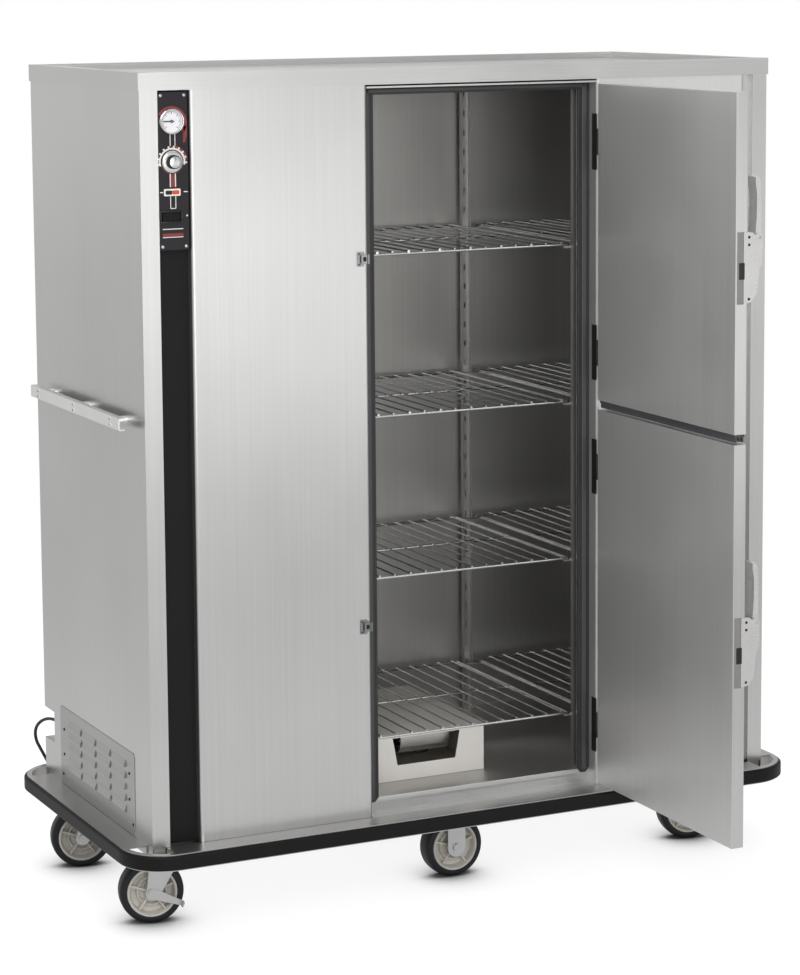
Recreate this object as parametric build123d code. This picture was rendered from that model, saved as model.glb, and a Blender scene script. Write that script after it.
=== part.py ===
from build123d import *
import math
import os

# Heated banquet cabinet on six casters, its two doors standing open at a right angle.
# Lengths are millimetres. X runs along the cabinet, the front faces -Y, Z is up from the floor.
# The model is drawn about the middle of the body and moved at export, so that the origin is
# the bottom centre of everything but the cord.

# Body
BODY_WIDTH = 1640.0
BODY_DEPTH = 740.0
BODY_HEIGHT = 1780.0
BODY_BOTTOM = 202.0
SKIN = 1.5
FIT = 0.3
RUNNING = 0.05

# Top cap
CAP_BAND = 40.0
CAP_OVERHANG = 3.0
CAP_RIM = 28.0
CAP_TRAY_DEPTH = 14.0

# Front
LEFT_POST = 43.0
RIGHT_POST = 40.0
REAR_FLANGE = 40.0
STRIP_RECESS = 22.0
STRIP_THICK = 2.0
LEFT_STRIP_WIDTH = 76.0
RIGHT_STRIP_WIDTH = 26.5
PANEL_BOTTOM = 217.0
PANEL_EDGE_R = 7.0
POCKET_LEFT = -264.0
POCKET_WIDTH = 606.0
POCKET_DEPTH = 38.0
POCKET_HEAD = 1938.0
FRAME_THICK = 2.0
HEAD_LIP = 4.0
SILL_TOP = 238.0

# Gasket and opening
GASKET_WIDTH = 32.5
GASKET_THICK = 5.7
GASKET_TOP_WIDTH = 17.0
GASKET_BOTTOM = 241.0
GASKET_GROOVE = 1.5
OPENING_TOP = 1917.0
FLOOR_TOP = 251.0

# Liner
LINER_SIDE_GAP = 50.0
LINER_BACK_GAP = 38.5
LINER_TOP_GAP = 12.5

# Control panel
CONTROL_WIDTH = 71.0
CONTROL_BOTTOM = 1586.0
CONTROL_TOP = 1938.0
CONTROL_SHEET = 2.0
THERMO_X = -745.0
THERMO_Z = 1873.0
THERMO_R = 29.0
THERMO_RIM = 4.0
THERMO_PROUD = 9.0
THERMO_STEM_R = 5.0
THERMO_STEM = 18.0
NEEDLE_LENGTH = 19.0
NEEDLE_WIDTH = 2.4
NEEDLE_THICK = 0.8
NEEDLE_HUB_R = 3.2
SPINDLE_R = 1.2
KNOB_X = -744.0
KNOB_Z = 1783.0
KNOB_SKIRT_R = 25.0
KNOB_SKIRT = 5.0
KNOB_CAP_R = 15.0
KNOB_CAP = 15.0
KNOB_SHAFT_R = 3.0
KNOB_SHAFT = 12.0
KNOB_COLLAR_R = 6.0
KNOB_COLLAR = 3.0
LAMP_LEFT = -765.0
LAMP_WIDTH = 39.0
LAMP_BOTTOM = 1707.0
LAMP_HEIGHT = 16.0
LAMP_PROUD = 2.0
LENS_R = 5.4
LENS_DOME = 2.5
SWITCH_LEFT = -775.0
SWITCH_WIDTH = 53.0
SWITCH_BOTTOM = 1647.0
SWITCH_HEIGHT = 27.0
SWITCH_RIM = 3.0
SWITCH_PROUD = 3.0
ROCKER_GAP = 1.0
ROCKER_THICK = 6.0
ROCKER_TILT = 7.0
ROCKER_PIN_R = 3.6
SCREW_HEAD_R = 3.6
SCREW_HEAD = 1.4

# Doors, drawn shut
DOOR_THICK = 32.0
DOOR_SIDE_GAP = 2.0
DOOR_SHEET = 1.2
UPPER_DOOR_BOTTOM = 1175.0
UPPER_DOOR_HEIGHT = 756.0
LOWER_DOOR_BOTTOM = 232.0
LOWER_DOOR_HEIGHT = 920.0
DOOR_EDGE_R = 3.0
SEAL_DROP = 19.0
SEAL_INSET = 3.0
REST_OPEN = 90.0

# Hinges
HINGE_X = 366.5
HINGE_PROUD = 7.5
BARREL_R = 6.5
HINGE_PIN_R = 3.0
HINGE_HEIGHT = 134.0
HINGE_MIDDLE = 63.0
LEAF_THICK = 1.5
LEAF_DEPTH = 20.0
LEAF_WRAP = 2.0
STRAP_THICK = 2.7
STRAP_LENGTH = 80.0
UPPER_HINGES = (1792.0, 1284.5)
LOWER_HINGES = (1006.0, 366.0)

# Latches and strikes
UPPER_LATCH_BOTTOM = 1465.0
LOWER_LATCH_BOTTOM = 601.0
LATCH_HEIGHT = 160.0
LATCH_TAPER_HEIGHT = 83.0
LATCH_PROUD = 40.0
LATCH_FOOT_PROUD = 33.0
LATCH_WIDTH = 40.0
LATCH_FLANGE = 10.0
LATCH_FLANGE_THICK = 0.8
LATCH_SCREW_HEAD = 0.5
LATCH_EDGE_R = 4.0
POCKET_PLATE_INSET = 5.0
POCKET_PLATE_WIDTH = 17.0
POCKET_PLATE_DEPTH = 3.0
BOLT_HOLE_INSET = 11.0
BOLT_HOLE_WIDTH = 11.0
BOLT_HOLE_HEIGHT = 38.0
BOLT_HOLE_BOTTOM = 57.0
BOLT_HOLE_DEPTH = 20.0
LEVER_LENGTH = 124.0
LEVER_THICK = 13.0
LEVER_GAP = 24.0
LEVER_WIDTH = 32.0
LEVER_PIVOT_DROP = 14.0
LEVER_PIN_R = 3.0
LEVER_SLOT_GAP = 0.6
STRIKE_WIDTH = 17.0
STRIKE_OFFSET = 11.0
STRIKE_HEIGHT = 34.0
STRIKE_THICK = 3.0
STRIKE_ABOVE_LATCH = 77.0
TONGUE_HEIGHT = 22.0

# Shelves
SHELF_LEVELS = (384.0, 772.0, 1159.0, 1542.0)
SHELF_DEPTH = 600.0
ROD_R = 3.5
BAR_R = 3.2
WIRE_R = 2.2
WELD = 0.9
WIRE_END = 3.4
WIRE_END_R = 3.3
WIRE_PITCH = 41.0
SHELF_SIDE_GAP = 3.0
UPRIGHT_WIDTH = 25.0
UPRIGHT_DEPTH = 14.0
UPRIGHT_SHEET = 1.5
UPRIGHT_SLOT_PITCH = 50.0
UPRIGHT_SLOT_HEIGHT = 14.0
UPRIGHT_SLOT_WIDTH = 5.0
UPRIGHT_OUTSIDE = 30.0
BAR_THICK = 6.0
BAR_WIDTH = 8.0
SIDE_SHELF_GAP = 12.0

# Heater
HEATER_LEFT = -208.0
HEATER_WIDTH = 314.0
HEATER_FRONT = -228.0
HEATER_DEPTH = 420.0
HEATER_HEIGHT = 116.0
HEATER_SHEET = 1.2
VENT_TOP_WIDTH = 182.0
VENT_BOTTOM_WIDTH = 157.0
VENT_BOTTOM = 38.0
VENT_HEIGHT = 68.0
BAFFLE_SETBACK = 34.0
BAFFLE_WIDTH = 150.0
BAFFLE_HEIGHT = 62.0
ELEMENT_R = 4.0
ELEMENT_HEIGHT = 30.0
ELEMENT_BEND = 24.0
ELEMENT_REACH = 300.0

# Base and bumper
BASE_BOTTOM = 190.0
BASE_SHEET = 3.0
BASE_INSET = 4.0
CROSS_WIDTH = 110.0
CROSS_INSET = 8.0
BUMPER_REACH = 67.0
BUMPER_CORNER_R = 110.0
RUBBER_BOTTOM = 180.0
RUBBER_HEIGHT = 34.0
RUBBER_THICK = 16.0
RUBBER_ROUND = 5.0
RAIL_WEB = 3.0
RAIL_LIP = 2.5
RAIL_LIP_REACH = 9.0
RAIL_LEG = 22.0
CORNER_GAP = 34.0

# Push handles
HANDLE_Z = 1190.5
HANDLE_HALF_LENGTH = 305.0
HANDLE_HEIGHT = 29.0
HANDLE_DEPTH = 15.0
HANDLE_STANDOFF = 24.0
HANDLE_SHEET = 3.0
HANDLE_POST_PITCH = 249.0
HANDLE_POST_R = 11.0
HANDLE_SCREW_SPACING = 13.0

# Louvred panel on the left side
LOUVRE_FRONT = -263.0
LOUVRE_REAR = 250.0
LOUVRE_BOTTOM = 218.0
LOUVRE_TOP = 413.0
LOUVRE_THICK = 1.5
LOUVRE_CORNER_R = 10.0
LOUVRE_COLUMNS = 4
LOUVRE_ROWS = 4
LOUVRE_PITCH_Y = 101.0
LOUVRE_PITCH_Z = 34.0
LOUVRE_LENGTH = 84.0
LOUVRE_HOOD_HEIGHT = 18.0
LOUVRE_HOOD_PROUD = 7.0
LOUVRE_SLOT = 6.0
LOUVRE_FIRST_Y = -164.0
LOUVRE_FIRST_Z = 275.0
LOUVRE_SCREWS = ((222, 357), (224, 294), (232, 243), (-230, 360), (-229, 298), (-251, 243))
VENT_MARGIN = 20.0

# Cord recess in the rear left corner
NOTCH_FRONT = 299.0
NOTCH_BOTTOM = 304.0
NOTCH_TOP = 382.0
NOTCH_DEPTH = 45.0

# Casters
WHEEL_R = 76.0
WHEEL_WIDTH = 50.0
TYRE_THICK = 17.0
TYRE_ROUND = 7.0
RIM_THICK = 7.0
HUB_WEB = 8.0
HUB_BOSS_R = 15.0
HUB_BOSS_WIDTH = 53.0
HUB_RIBS = 5
HUB_RIB_THICK = 6.0
AXLE_R = 6.0
AXLE_HEAD_R = 10.0
AXLE_HEAD = 5.0
FORK_GAP = 3.0
FORK_SHEET = 4.0
FORK_TOP_WIDTH = 84.0
FORK_FOOT_R = 17.0
CROWN_R = 34.0
CROWN_THICK = 8.0
CASTER_PLATE = 4.0
CASTER_PLATE_LENGTH = 102.0
CASTER_PLATE_WIDTH = 84.0
KINGPIN_R = 6.0
KINGPIN_REACH = 16.0
CASTER_TRAIL = 45.0
CASTER_TURN = 12.0
SWIVEL_X = 730.0
SWIVEL_Y = 240.0
RIGID_X = 10.0
RIGID_Y = 235.0
RIGID_LEG_WIDTH = 47.0
BRAKE_LENGTH = 72.0
BRAKE_THICK = 3.0
BRAKE_ROOT_R = 13.0
BRAKE_TIP_R = 6.0
BRAKE_DROOP = 22.0
BRAKE_PAD = 16.0

# Cord
CORD_R = 4.0
CORD_ENTRY_X = -793.0
CORD_ENTRY_Z = 343.0
RELIEF_FLANGE_R = 11.0
RELIEF_FLANGE = 4.0
RELIEF_ROOT_R = 8.5
RELIEF_TIP_R = 5.5
RELIEF_LENGTH = 32.0
COIL_X = -300.0
COIL_Y = 560.0
COIL_MEAN_R = 44.0
COIL_TURNS = 4
COIL_PITCH = 8.7
COIL_LAYER = 8.7
COIL_TAIL = 46.0
TIE_THICK = 1.2
TIE_WIDTH = 12.0
TIE_CLEARANCE = 1.0
PLUG_LENGTH = 42.0
PLUG_WIDTH = 32.0
PLUG_HEIGHT = 27.0
PLUG_NECK = 16.0
PLUG_NECK_R = 6.5
BLADE_LENGTH = 17.0
BLADE_WIDTH = 6.3
BLADE_THICK = 1.5
BLADE_SPACING = 12.7
EARTH_R = 2.4

# Worked out from the sizes above
LEFT = -BODY_WIDTH / 2
RIGHT = BODY_WIDTH / 2
FRONT = -BODY_DEPTH / 2
REAR = BODY_DEPTH / 2
BODY_TOP = BODY_BOTTOM + BODY_HEIGHT
CAP_BOTTOM = BODY_TOP - CAP_BAND
POCKET_RIGHT = POCKET_LEFT + POCKET_WIDTH
POCKET_BACK = FRONT + POCKET_DEPTH
LINER_FRONT = POCKET_BACK + FRAME_THICK
LINER_BACK = REAR - LINER_BACK_GAP
LINER_HALF = BODY_WIDTH / 2 - LINER_SIDE_GAP
LINER_TOP = CAP_BOTTOM - LINER_TOP_GAP
OPENING_LEFT = POCKET_LEFT + GASKET_WIDTH
OPENING_RIGHT = POCKET_RIGHT - GASKET_WIDTH
POST_RIGHT_OF_LEFT = LEFT + LEFT_POST
LEFT_STRIP_RIGHT = POST_RIGHT_OF_LEFT + LEFT_STRIP_WIDTH
POST_LEFT_OF_RIGHT = RIGHT - RIGHT_POST
RIGHT_STRIP_LEFT = POST_LEFT_OF_RIGHT - RIGHT_STRIP_WIDTH
STRIP_FACE = FRONT + STRIP_RECESS
HINGE_Y = FRONT - HINGE_PROUD
DOOR_LEFT = POCKET_LEFT + DOOR_SIDE_GAP
DOOR_RIGHT = POCKET_RIGHT - DOOR_SIDE_GAP
DOOR_BACK = FRONT + DOOR_THICK
WHEEL_Z = WHEEL_R
LEG_OFFSET = HUB_BOSS_WIDTH / 2 + FORK_GAP
LEG_OUTSIDE = LEG_OFFSET + FORK_SHEET
CROWN_TOP = BASE_BOTTOM - CASTER_PLATE - FIT
CROWN_BOTTOM = CROWN_TOP - CROWN_THICK
COIL_BOTTOM = TIE_THICK + TIE_CLEARANCE
COIL_Z = COIL_BOTTOM + CORD_R
DOOR_REACH = HINGE_X - DOOR_LEFT + LATCH_FLANGE_THICK + LATCH_SCREW_HEAD
REST_FRONT = HINGE_Y - DOOR_REACH
REST_BACK = REAR + BUMPER_REACH
REST_SHIFT = Pos(0, -(REST_FRONT + REST_BACK) / 2, 0)

NODES = {}


def block(x_low, x_high, y_low, y_high, z_low, z_high):
    """A box between two corners."""
    middle = Pos((x_low + x_high) / 2, (y_low + y_high) / 2, (z_low + z_high) / 2)
    return middle * Box(x_high - x_low, y_high - y_low, z_high - z_low)


def rod(start, end, radius):
    """A round bar between two points."""
    path = Vector(*end) - Vector(*start)
    turned = Plane(origin=Vector(*start), z_dir=path.normalized())
    return turned * Cylinder(radius, path.length, align=(Align.CENTER, Align.CENTER, Align.MIN))


def keep(name, *solids):
    """Store the solids of one sub-part under its name."""
    found = []
    for shape in solids:
        found.extend(shape.solids())
    NODES[name] = found


def screw_on_front(x, z, face=FRONT):
    """A low round screw head on a face that looks to the front."""
    return rod((x, face, z), (x, face - SCREW_HEAD, z), SCREW_HEAD_R)


# Body shell

def side_sheet(post_width, deep):
    """The left side sheet with its front post, the return into the strip recess and a rear flange."""
    post_edge = LEFT + post_width
    plate = block(LEFT, LEFT + SKIN, FRONT, REAR, BODY_BOTTOM, BODY_TOP - SKIN)
    post = block(LEFT, post_edge, FRONT, FRONT + SKIN, PANEL_BOTTOM, CAP_BOTTOM)
    post_return = block(post_edge - SKIN, post_edge, FRONT, deep, PANEL_BOTTOM, CAP_BOTTOM)
    rear = block(LEFT, LEFT + REAR_FLANGE, REAR - SKIN, REAR, PANEL_BOTTOM, CAP_BOTTOM)
    return plate + post + post_return + rear


def cord_recess():
    """The folded recess in the rear left corner that the cord comes out of."""
    inner = LEFT + NOTCH_DEPTH
    outer = block(LEFT, inner + SKIN, NOTCH_FRONT - SKIN, REAR, NOTCH_BOTTOM - SKIN, NOTCH_TOP + SKIN)
    hollow = block(LEFT - SKIN, inner, NOTCH_FRONT, REAR + SKIN, NOTCH_BOTTOM, NOTCH_TOP)
    return outer, hollow


def make_side_left():
    strip_back = STRIP_FACE + STRIP_THICK
    sheet = side_sheet(LEFT_POST, strip_back)
    outer, hollow = cord_recess()
    intake = block(LEFT - SKIN, LEFT + 2 * SKIN, LOUVRE_FRONT + 2 * VENT_MARGIN,
                   LOUVRE_REAR - 2 * VENT_MARGIN, LOUVRE_BOTTOM + VENT_MARGIN, LOUVRE_TOP - VENT_MARGIN)
    keep("side_left", (sheet + outer) - hollow - intake)


def make_side_right():
    strip_back = STRIP_FACE + SKIN
    sheet = mirror(side_sheet(RIGHT_POST, strip_back), about=Plane.YZ)
    strip = block(RIGHT_STRIP_LEFT, POST_LEFT_OF_RIGHT + SKIN, STRIP_FACE, strip_back,
                  PANEL_BOTTOM, CAP_BOTTOM)
    keep("side_right", sheet + strip)


def make_back_panel():
    inner = LEFT + SKIN
    plate = block(inner, -inner, REAR - 2 * SKIN, REAR - SKIN, BODY_BOTTOM, BODY_TOP - SKIN)
    outer, hollow = cord_recess()
    keep("back_panel", plate - outer - hollow)


def make_top_cap():
    """A tray with a raised rim and a band that hangs over the body's edges."""
    x_out = RIGHT + CAP_OVERHANG
    y_out = REAR + CAP_OVERHANG
    x_tray = x_out - CAP_RIM
    y_tray = y_out - CAP_RIM
    tray_floor = BODY_TOP - CAP_TRAY_DEPTH
    outside = block(-x_out, x_out, -y_out, y_out, CAP_BOTTOM, BODY_TOP)
    under_rim = block(-x_out + SKIN, x_out - SKIN, -y_out + SKIN, y_out - SKIN,
                      CAP_BOTTOM, BODY_TOP - SKIN)
    tray = block(-x_tray - SKIN, x_tray + SKIN, -y_tray - SKIN, y_tray + SKIN,
                 tray_floor - SKIN, BODY_TOP)
    tray_hollow = block(-x_tray, x_tray, -y_tray, y_tray, tray_floor, BODY_TOP)
    keep("top_cap", (outside - under_rim) + tray - tray_hollow)


def make_liner():
    """The inner box, open at the doorway: flat sheets that meet face to face."""
    half = LINER_HALF - SKIN
    back = LINER_BACK - SKIN
    front = LINER_FRONT + SKIN
    ceiling = LINER_TOP - SKIN
    low = block(-LINER_HALF, LINER_HALF, LINER_FRONT, LINER_BACK, FLOOR_TOP - SKIN, FLOOR_TOP)
    high = block(-LINER_HALF, LINER_HALF, LINER_FRONT, LINER_BACK, ceiling, LINER_TOP)
    left = block(-LINER_HALF, -half, LINER_FRONT, LINER_BACK, FLOOR_TOP, ceiling)
    right = block(half, LINER_HALF, LINER_FRONT, LINER_BACK, FLOOR_TOP, ceiling)
    rear = block(-half, half, back, LINER_BACK, FLOOR_TOP, ceiling)
    front_left = block(-half, OPENING_LEFT, LINER_FRONT, front, FLOOR_TOP, ceiling)
    front_right = block(OPENING_RIGHT, half, LINER_FRONT, front, FLOOR_TOP, ceiling)
    head = block(OPENING_LEFT, OPENING_RIGHT, LINER_FRONT, front, OPENING_TOP, ceiling)
    keep("liner", low, high, left, right, rear, front_left, front_right, head)


def make_face_frame():
    """The recessed frame that the doors shut against, with the head and the ledge of the pocket."""
    outer_left = POCKET_LEFT - 2 * SKIN
    outer_right = POCKET_RIGHT + 2 * SKIN
    left = block(outer_left, OPENING_LEFT, POCKET_BACK, LINER_FRONT, PANEL_BOTTOM, POCKET_HEAD)
    right = block(OPENING_RIGHT, outer_right, POCKET_BACK, LINER_FRONT, PANEL_BOTTOM, POCKET_HEAD)
    sill = block(OPENING_LEFT, OPENING_RIGHT, POCKET_BACK, LINER_FRONT, PANEL_BOTTOM, SILL_TOP)
    header = block(OPENING_LEFT, OPENING_RIGHT, POCKET_BACK, LINER_FRONT, OPENING_TOP, POCKET_HEAD)
    head = block(POCKET_LEFT, POCKET_RIGHT, FRONT, POCKET_BACK, POCKET_HEAD - SKIN, POCKET_HEAD)
    lip = block(POCKET_LEFT, POCKET_RIGHT, FRONT, FRONT + SKIN, POCKET_HEAD - HEAD_LIP, POCKET_HEAD - SKIN)
    ledge = block(POCKET_LEFT, POCKET_RIGHT, FRONT, LINER_FRONT, PANEL_BOTTOM - SKIN, PANEL_BOTTOM)
    keep("face_frame", left, right, sill, header, head, lip, ledge)


def fixed_panel(x_low, x_high, left_depth, right_depth):
    """A front panel with rounded upright edges and returns of two depths."""
    deepest = FRONT + max(left_depth, right_depth)
    outside = block(x_low, x_high, FRONT, deepest, PANEL_BOTTOM, CAP_BOTTOM)
    front_edges = outside.edges().filter_by(Axis.Z).group_by(Axis.Y)[0]
    outside = fillet(front_edges, PANEL_EDGE_R)
    inside = block(x_low + SKIN, x_high - SKIN, FRONT + SKIN, deepest + SKIN,
                   PANEL_BOTTOM + SKIN, CAP_BOTTOM - SKIN)
    inner_edges = inside.edges().filter_by(Axis.Z).group_by(Axis.Y)[0]
    inside = fillet(inner_edges, PANEL_EDGE_R - SKIN)
    pan = outside - inside
    for x_edge, depth in ((x_low, left_depth), (x_high, right_depth)):
        trim = block(x_edge - 2 * SKIN, x_edge + 2 * SKIN, FRONT + depth, deepest + SKIN,
                     PANEL_BOTTOM - SKIN, CAP_BOTTOM + SKIN)
        pan -= trim
    return pan


def make_front_panels():
    keep("left_panel", fixed_panel(LEFT_STRIP_RIGHT, POCKET_LEFT, STRIP_RECESS, POCKET_DEPTH))
    keep("right_panel", fixed_panel(POCKET_RIGHT, RIGHT_STRIP_LEFT, POCKET_DEPTH, STRIP_RECESS))
    keep("black_strip", block(POST_RIGHT_OF_LEFT, LEFT_STRIP_RIGHT, STRIP_FACE,
                              STRIP_FACE + STRIP_THICK, PANEL_BOTTOM, CAP_BOTTOM))


# Control panel

def switch_box(inset, y_low, y_high):
    """The outline of the switch, drawn in by an inset, between two depths."""
    return block(SWITCH_LEFT + inset, SWITCH_LEFT + SWITCH_WIDTH - inset, y_low, y_high,
                 SWITCH_BOTTOM + inset, SWITCH_BOTTOM + SWITCH_HEIGHT - inset)


def lamp_centres():
    """The two lens centres along the lamp bezel."""
    middle = LAMP_LEFT + LAMP_WIDTH / 2
    return (middle - LAMP_WIDTH / 4, middle + LAMP_WIDTH / 4)


def make_control_panel():
    left = POST_RIGHT_OF_LEFT
    right = left + CONTROL_WIDTH
    back = FRONT + CONTROL_SHEET
    outside = block(left, right, FRONT, STRIP_FACE, CONTROL_BOTTOM, CONTROL_TOP)
    inside = block(left + CONTROL_SHEET, right - CONTROL_SHEET, back, STRIP_FACE + SKIN,
                   CONTROL_BOTTOM + CONTROL_SHEET, CONTROL_TOP - CONTROL_SHEET)
    pan = outside - inside
    pan -= rod((THERMO_X, FRONT - SKIN, THERMO_Z), (THERMO_X, back + SKIN, THERMO_Z), THERMO_STEM_R + FIT)
    pan -= rod((KNOB_X, FRONT - SKIN, KNOB_Z), (KNOB_X, back + SKIN, KNOB_Z), KNOB_SHAFT_R + RUNNING)
    pan -= switch_box(SWITCH_RIM, FRONT - SKIN, back + SKIN)
    for x in lamp_centres():
        pan -= rod((x, FRONT - SKIN, LAMP_BOTTOM + LAMP_HEIGHT / 2),
                   (x, back + SKIN, LAMP_BOTTOM + LAMP_HEIGHT / 2), LENS_R + FIT)
    inset = 7.5
    for x, z in ((right - inset, CONTROL_TOP - inset), (right - inset, CONTROL_BOTTOM + inset),
                 (left + inset, CONTROL_BOTTOM + inset), (left + inset, CONTROL_TOP - inset)):
        pan += screw_on_front(x, z)
    frame = switch_box(0, FRONT - SWITCH_PROUD, FRONT) - switch_box(SWITCH_RIM, FRONT - 2 * SWITCH_PROUD, back)
    keep("control_panel", pan, frame)


def make_thermometer():
    """A round dial in a rim, its stem through the panel and a spindle for the needle."""
    dial_face = FRONT - THERMO_PROUD / 3
    rim = rod((THERMO_X, FRONT, THERMO_Z), (THERMO_X, FRONT - THERMO_PROUD, THERMO_Z), THERMO_R)
    rim = fillet(rim.edges().group_by(Axis.Y)[0], THERMO_RIM / 3)
    rim -= rod((THERMO_X, dial_face, THERMO_Z), (THERMO_X, FRONT - 2 * THERMO_PROUD, THERMO_Z),
               THERMO_R - THERMO_RIM)
    stem = rod((THERMO_X, FRONT, THERMO_Z), (THERMO_X, FRONT + THERMO_STEM, THERMO_Z), THERMO_STEM_R)
    spindle_tip = FRONT - THERMO_PROUD * 0.8
    spindle = rod((THERMO_X, dial_face, THERMO_Z), (THERMO_X, spindle_tip, THERMO_Z), SPINDLE_R)
    keep("thermometer", rim + stem + spindle)

    needle_back = dial_face - 2 * FIT
    needle_front = needle_back - NEEDLE_THICK
    hub = rod((THERMO_X, needle_back, THERMO_Z), (THERMO_X, needle_front - NEEDLE_THICK, THERMO_Z),
              NEEDLE_HUB_R)
    half = NEEDLE_WIDTH / 2
    blade = block(THERMO_X - NEEDLE_LENGTH, THERMO_X + 2 * NEEDLE_HUB_R, needle_front, needle_back,
                  THERMO_Z - half, THERMO_Z + half)
    bore = rod((THERMO_X, FRONT, THERMO_Z), (THERMO_X, FRONT - 2 * THERMO_PROUD, THERMO_Z),
               SPINDLE_R + RUNNING)
    keep("thermometer_needle", hub + blade - bore)


def make_knob():
    """The thermostat knob with its skirt, shaft and the collar behind the panel."""
    skirt_back = FRONT - FIT
    skirt_front = skirt_back - KNOB_SKIRT
    cap_front = skirt_front - KNOB_CAP
    skirt = rod((KNOB_X, skirt_back, KNOB_Z), (KNOB_X, skirt_front, KNOB_Z), KNOB_SKIRT_R)
    skirt = chamfer(skirt.edges().group_by(Axis.Y)[0], KNOB_SKIRT / 3)
    cap = rod((KNOB_X, skirt_front, KNOB_Z), (KNOB_X, cap_front, KNOB_Z), KNOB_CAP_R)
    cap = fillet(cap.edges().group_by(Axis.Y)[0], KNOB_CAP / 8)
    shaft = rod((KNOB_X, skirt_back, KNOB_Z), (KNOB_X, skirt_back + KNOB_SHAFT, KNOB_Z), KNOB_SHAFT_R)
    collar_front = FRONT + CONTROL_SHEET + FIT
    collar = rod((KNOB_X, collar_front, KNOB_Z), (KNOB_X, collar_front + KNOB_COLLAR, KNOB_Z),
                 KNOB_COLLAR_R)
    keep("thermostat_knob", skirt + cap + shaft + collar)


def make_lamps():
    """A bezel with two round lenses."""
    lens_z = LAMP_BOTTOM + LAMP_HEIGHT / 2
    bezel = block(LAMP_LEFT, LAMP_LEFT + LAMP_WIDTH, FRONT - LAMP_PROUD, FRONT,
                  LAMP_BOTTOM, LAMP_BOTTOM + LAMP_HEIGHT)
    lenses = []
    for x in lamp_centres():
        bezel -= rod((x, FRONT, lens_z), (x, FRONT - 2 * LAMP_PROUD, lens_z), LENS_R)
        lens = rod((x, FRONT + CONTROL_SHEET, lens_z), (x, FRONT - LAMP_PROUD - LENS_DOME, lens_z), LENS_R)
        lenses.append(fillet(lens.edges().group_by(Axis.Y)[0], LENS_DOME * 0.9))
    keep("indicator_lights", bezel, *lenses)


def make_rocker():
    """The rocker of the power switch on its pin, pressed in on one side."""
    x_middle = SWITCH_LEFT + SWITCH_WIDTH / 2
    paddle = switch_box(SWITCH_RIM + ROCKER_GAP, FRONT - ROCKER_THICK / 2, FRONT + ROCKER_THICK / 2)
    pin_inset = SWITCH_RIM + ROCKER_GAP / 2
    paddle += rod((x_middle, FRONT, SWITCH_BOTTOM + pin_inset),
                  (x_middle, FRONT, SWITCH_BOTTOM + SWITCH_HEIGHT - pin_inset), ROCKER_PIN_R)
    pivot = Pos(x_middle, FRONT, 0)
    keep("rocker_switch", pivot * Rot(0, 0, ROCKER_TILT) * pivot.inverse() * paddle)


# Doorway fittings

def make_gasket():
    """A ribbed seal down both sides and along the head of the frame, its feet cut to a point."""
    face = POCKET_BACK - GASKET_THICK
    top = OPENING_TOP + GASKET_TOP_WIDTH
    seal = block(POCKET_LEFT, POCKET_RIGHT, face, POCKET_BACK, GASKET_BOTTOM, top)
    seal -= block(OPENING_LEFT, OPENING_RIGHT, face - SKIN, POCKET_BACK + SKIN,
                  GASKET_BOTTOM - SKIN, OPENING_TOP)
    foot_edges = seal.edges().filter_by(Axis.Y).group_by(Axis.Z)[0]
    seal = chamfer(foot_edges, GASKET_WIDTH * 0.28)
    for x_low in (POCKET_LEFT, OPENING_RIGHT):
        for share in (0.3, 0.7):
            x = x_low + GASKET_WIDTH * share
            seal -= block(x - GASKET_GROOVE, x + GASKET_GROOVE, face - SKIN, face + GASKET_GROOVE,
                          GASKET_BOTTOM - SKIN, OPENING_TOP + GASKET_TOP_WIDTH / 2)
    keep("gasket", seal)


def make_strikes():
    """The two strikes on the left panel, each with a tongue that reaches the edge of the pocket."""
    pieces = []
    right = POCKET_LEFT - STRIKE_OFFSET
    for latch_bottom in (UPPER_LATCH_BOTTOM, LOWER_LATCH_BOTTOM):
        z = latch_bottom + STRIKE_ABOVE_LATCH
        plate = block(right - STRIKE_WIDTH, right, FRONT - STRIKE_THICK, FRONT,
                      z - STRIKE_HEIGHT / 2, z + STRIKE_HEIGHT / 2)
        tongue = block(right - STRIKE_WIDTH / 2, POCKET_LEFT - 2 * FIT, FRONT - 2 * STRIKE_THICK,
                       FRONT - STRIKE_THICK, z - TONGUE_HEIGHT / 2, z + TONGUE_HEIGHT / 2)
        hook = block(POCKET_LEFT - 2 * FIT - STRIKE_THICK, POCKET_LEFT - 2 * FIT,
                     FRONT - 3 * STRIKE_THICK, FRONT - STRIKE_THICK,
                     z - TONGUE_HEIGHT / 2, z + TONGUE_HEIGHT / 2)
        strike = plate + tongue + hook
        for offset in (-STRIKE_HEIGHT / 2.8, STRIKE_HEIGHT / 2.8):
            strike += rod((right - STRIKE_WIDTH * 0.75, FRONT - STRIKE_THICK, z + offset),
                          (right - STRIKE_WIDTH * 0.75, FRONT - STRIKE_THICK - SCREW_HEAD, z + offset),
                          SCREW_HEAD_R * 0.8)
        pieces.append(strike)
    keep("strikes", *pieces)


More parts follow.
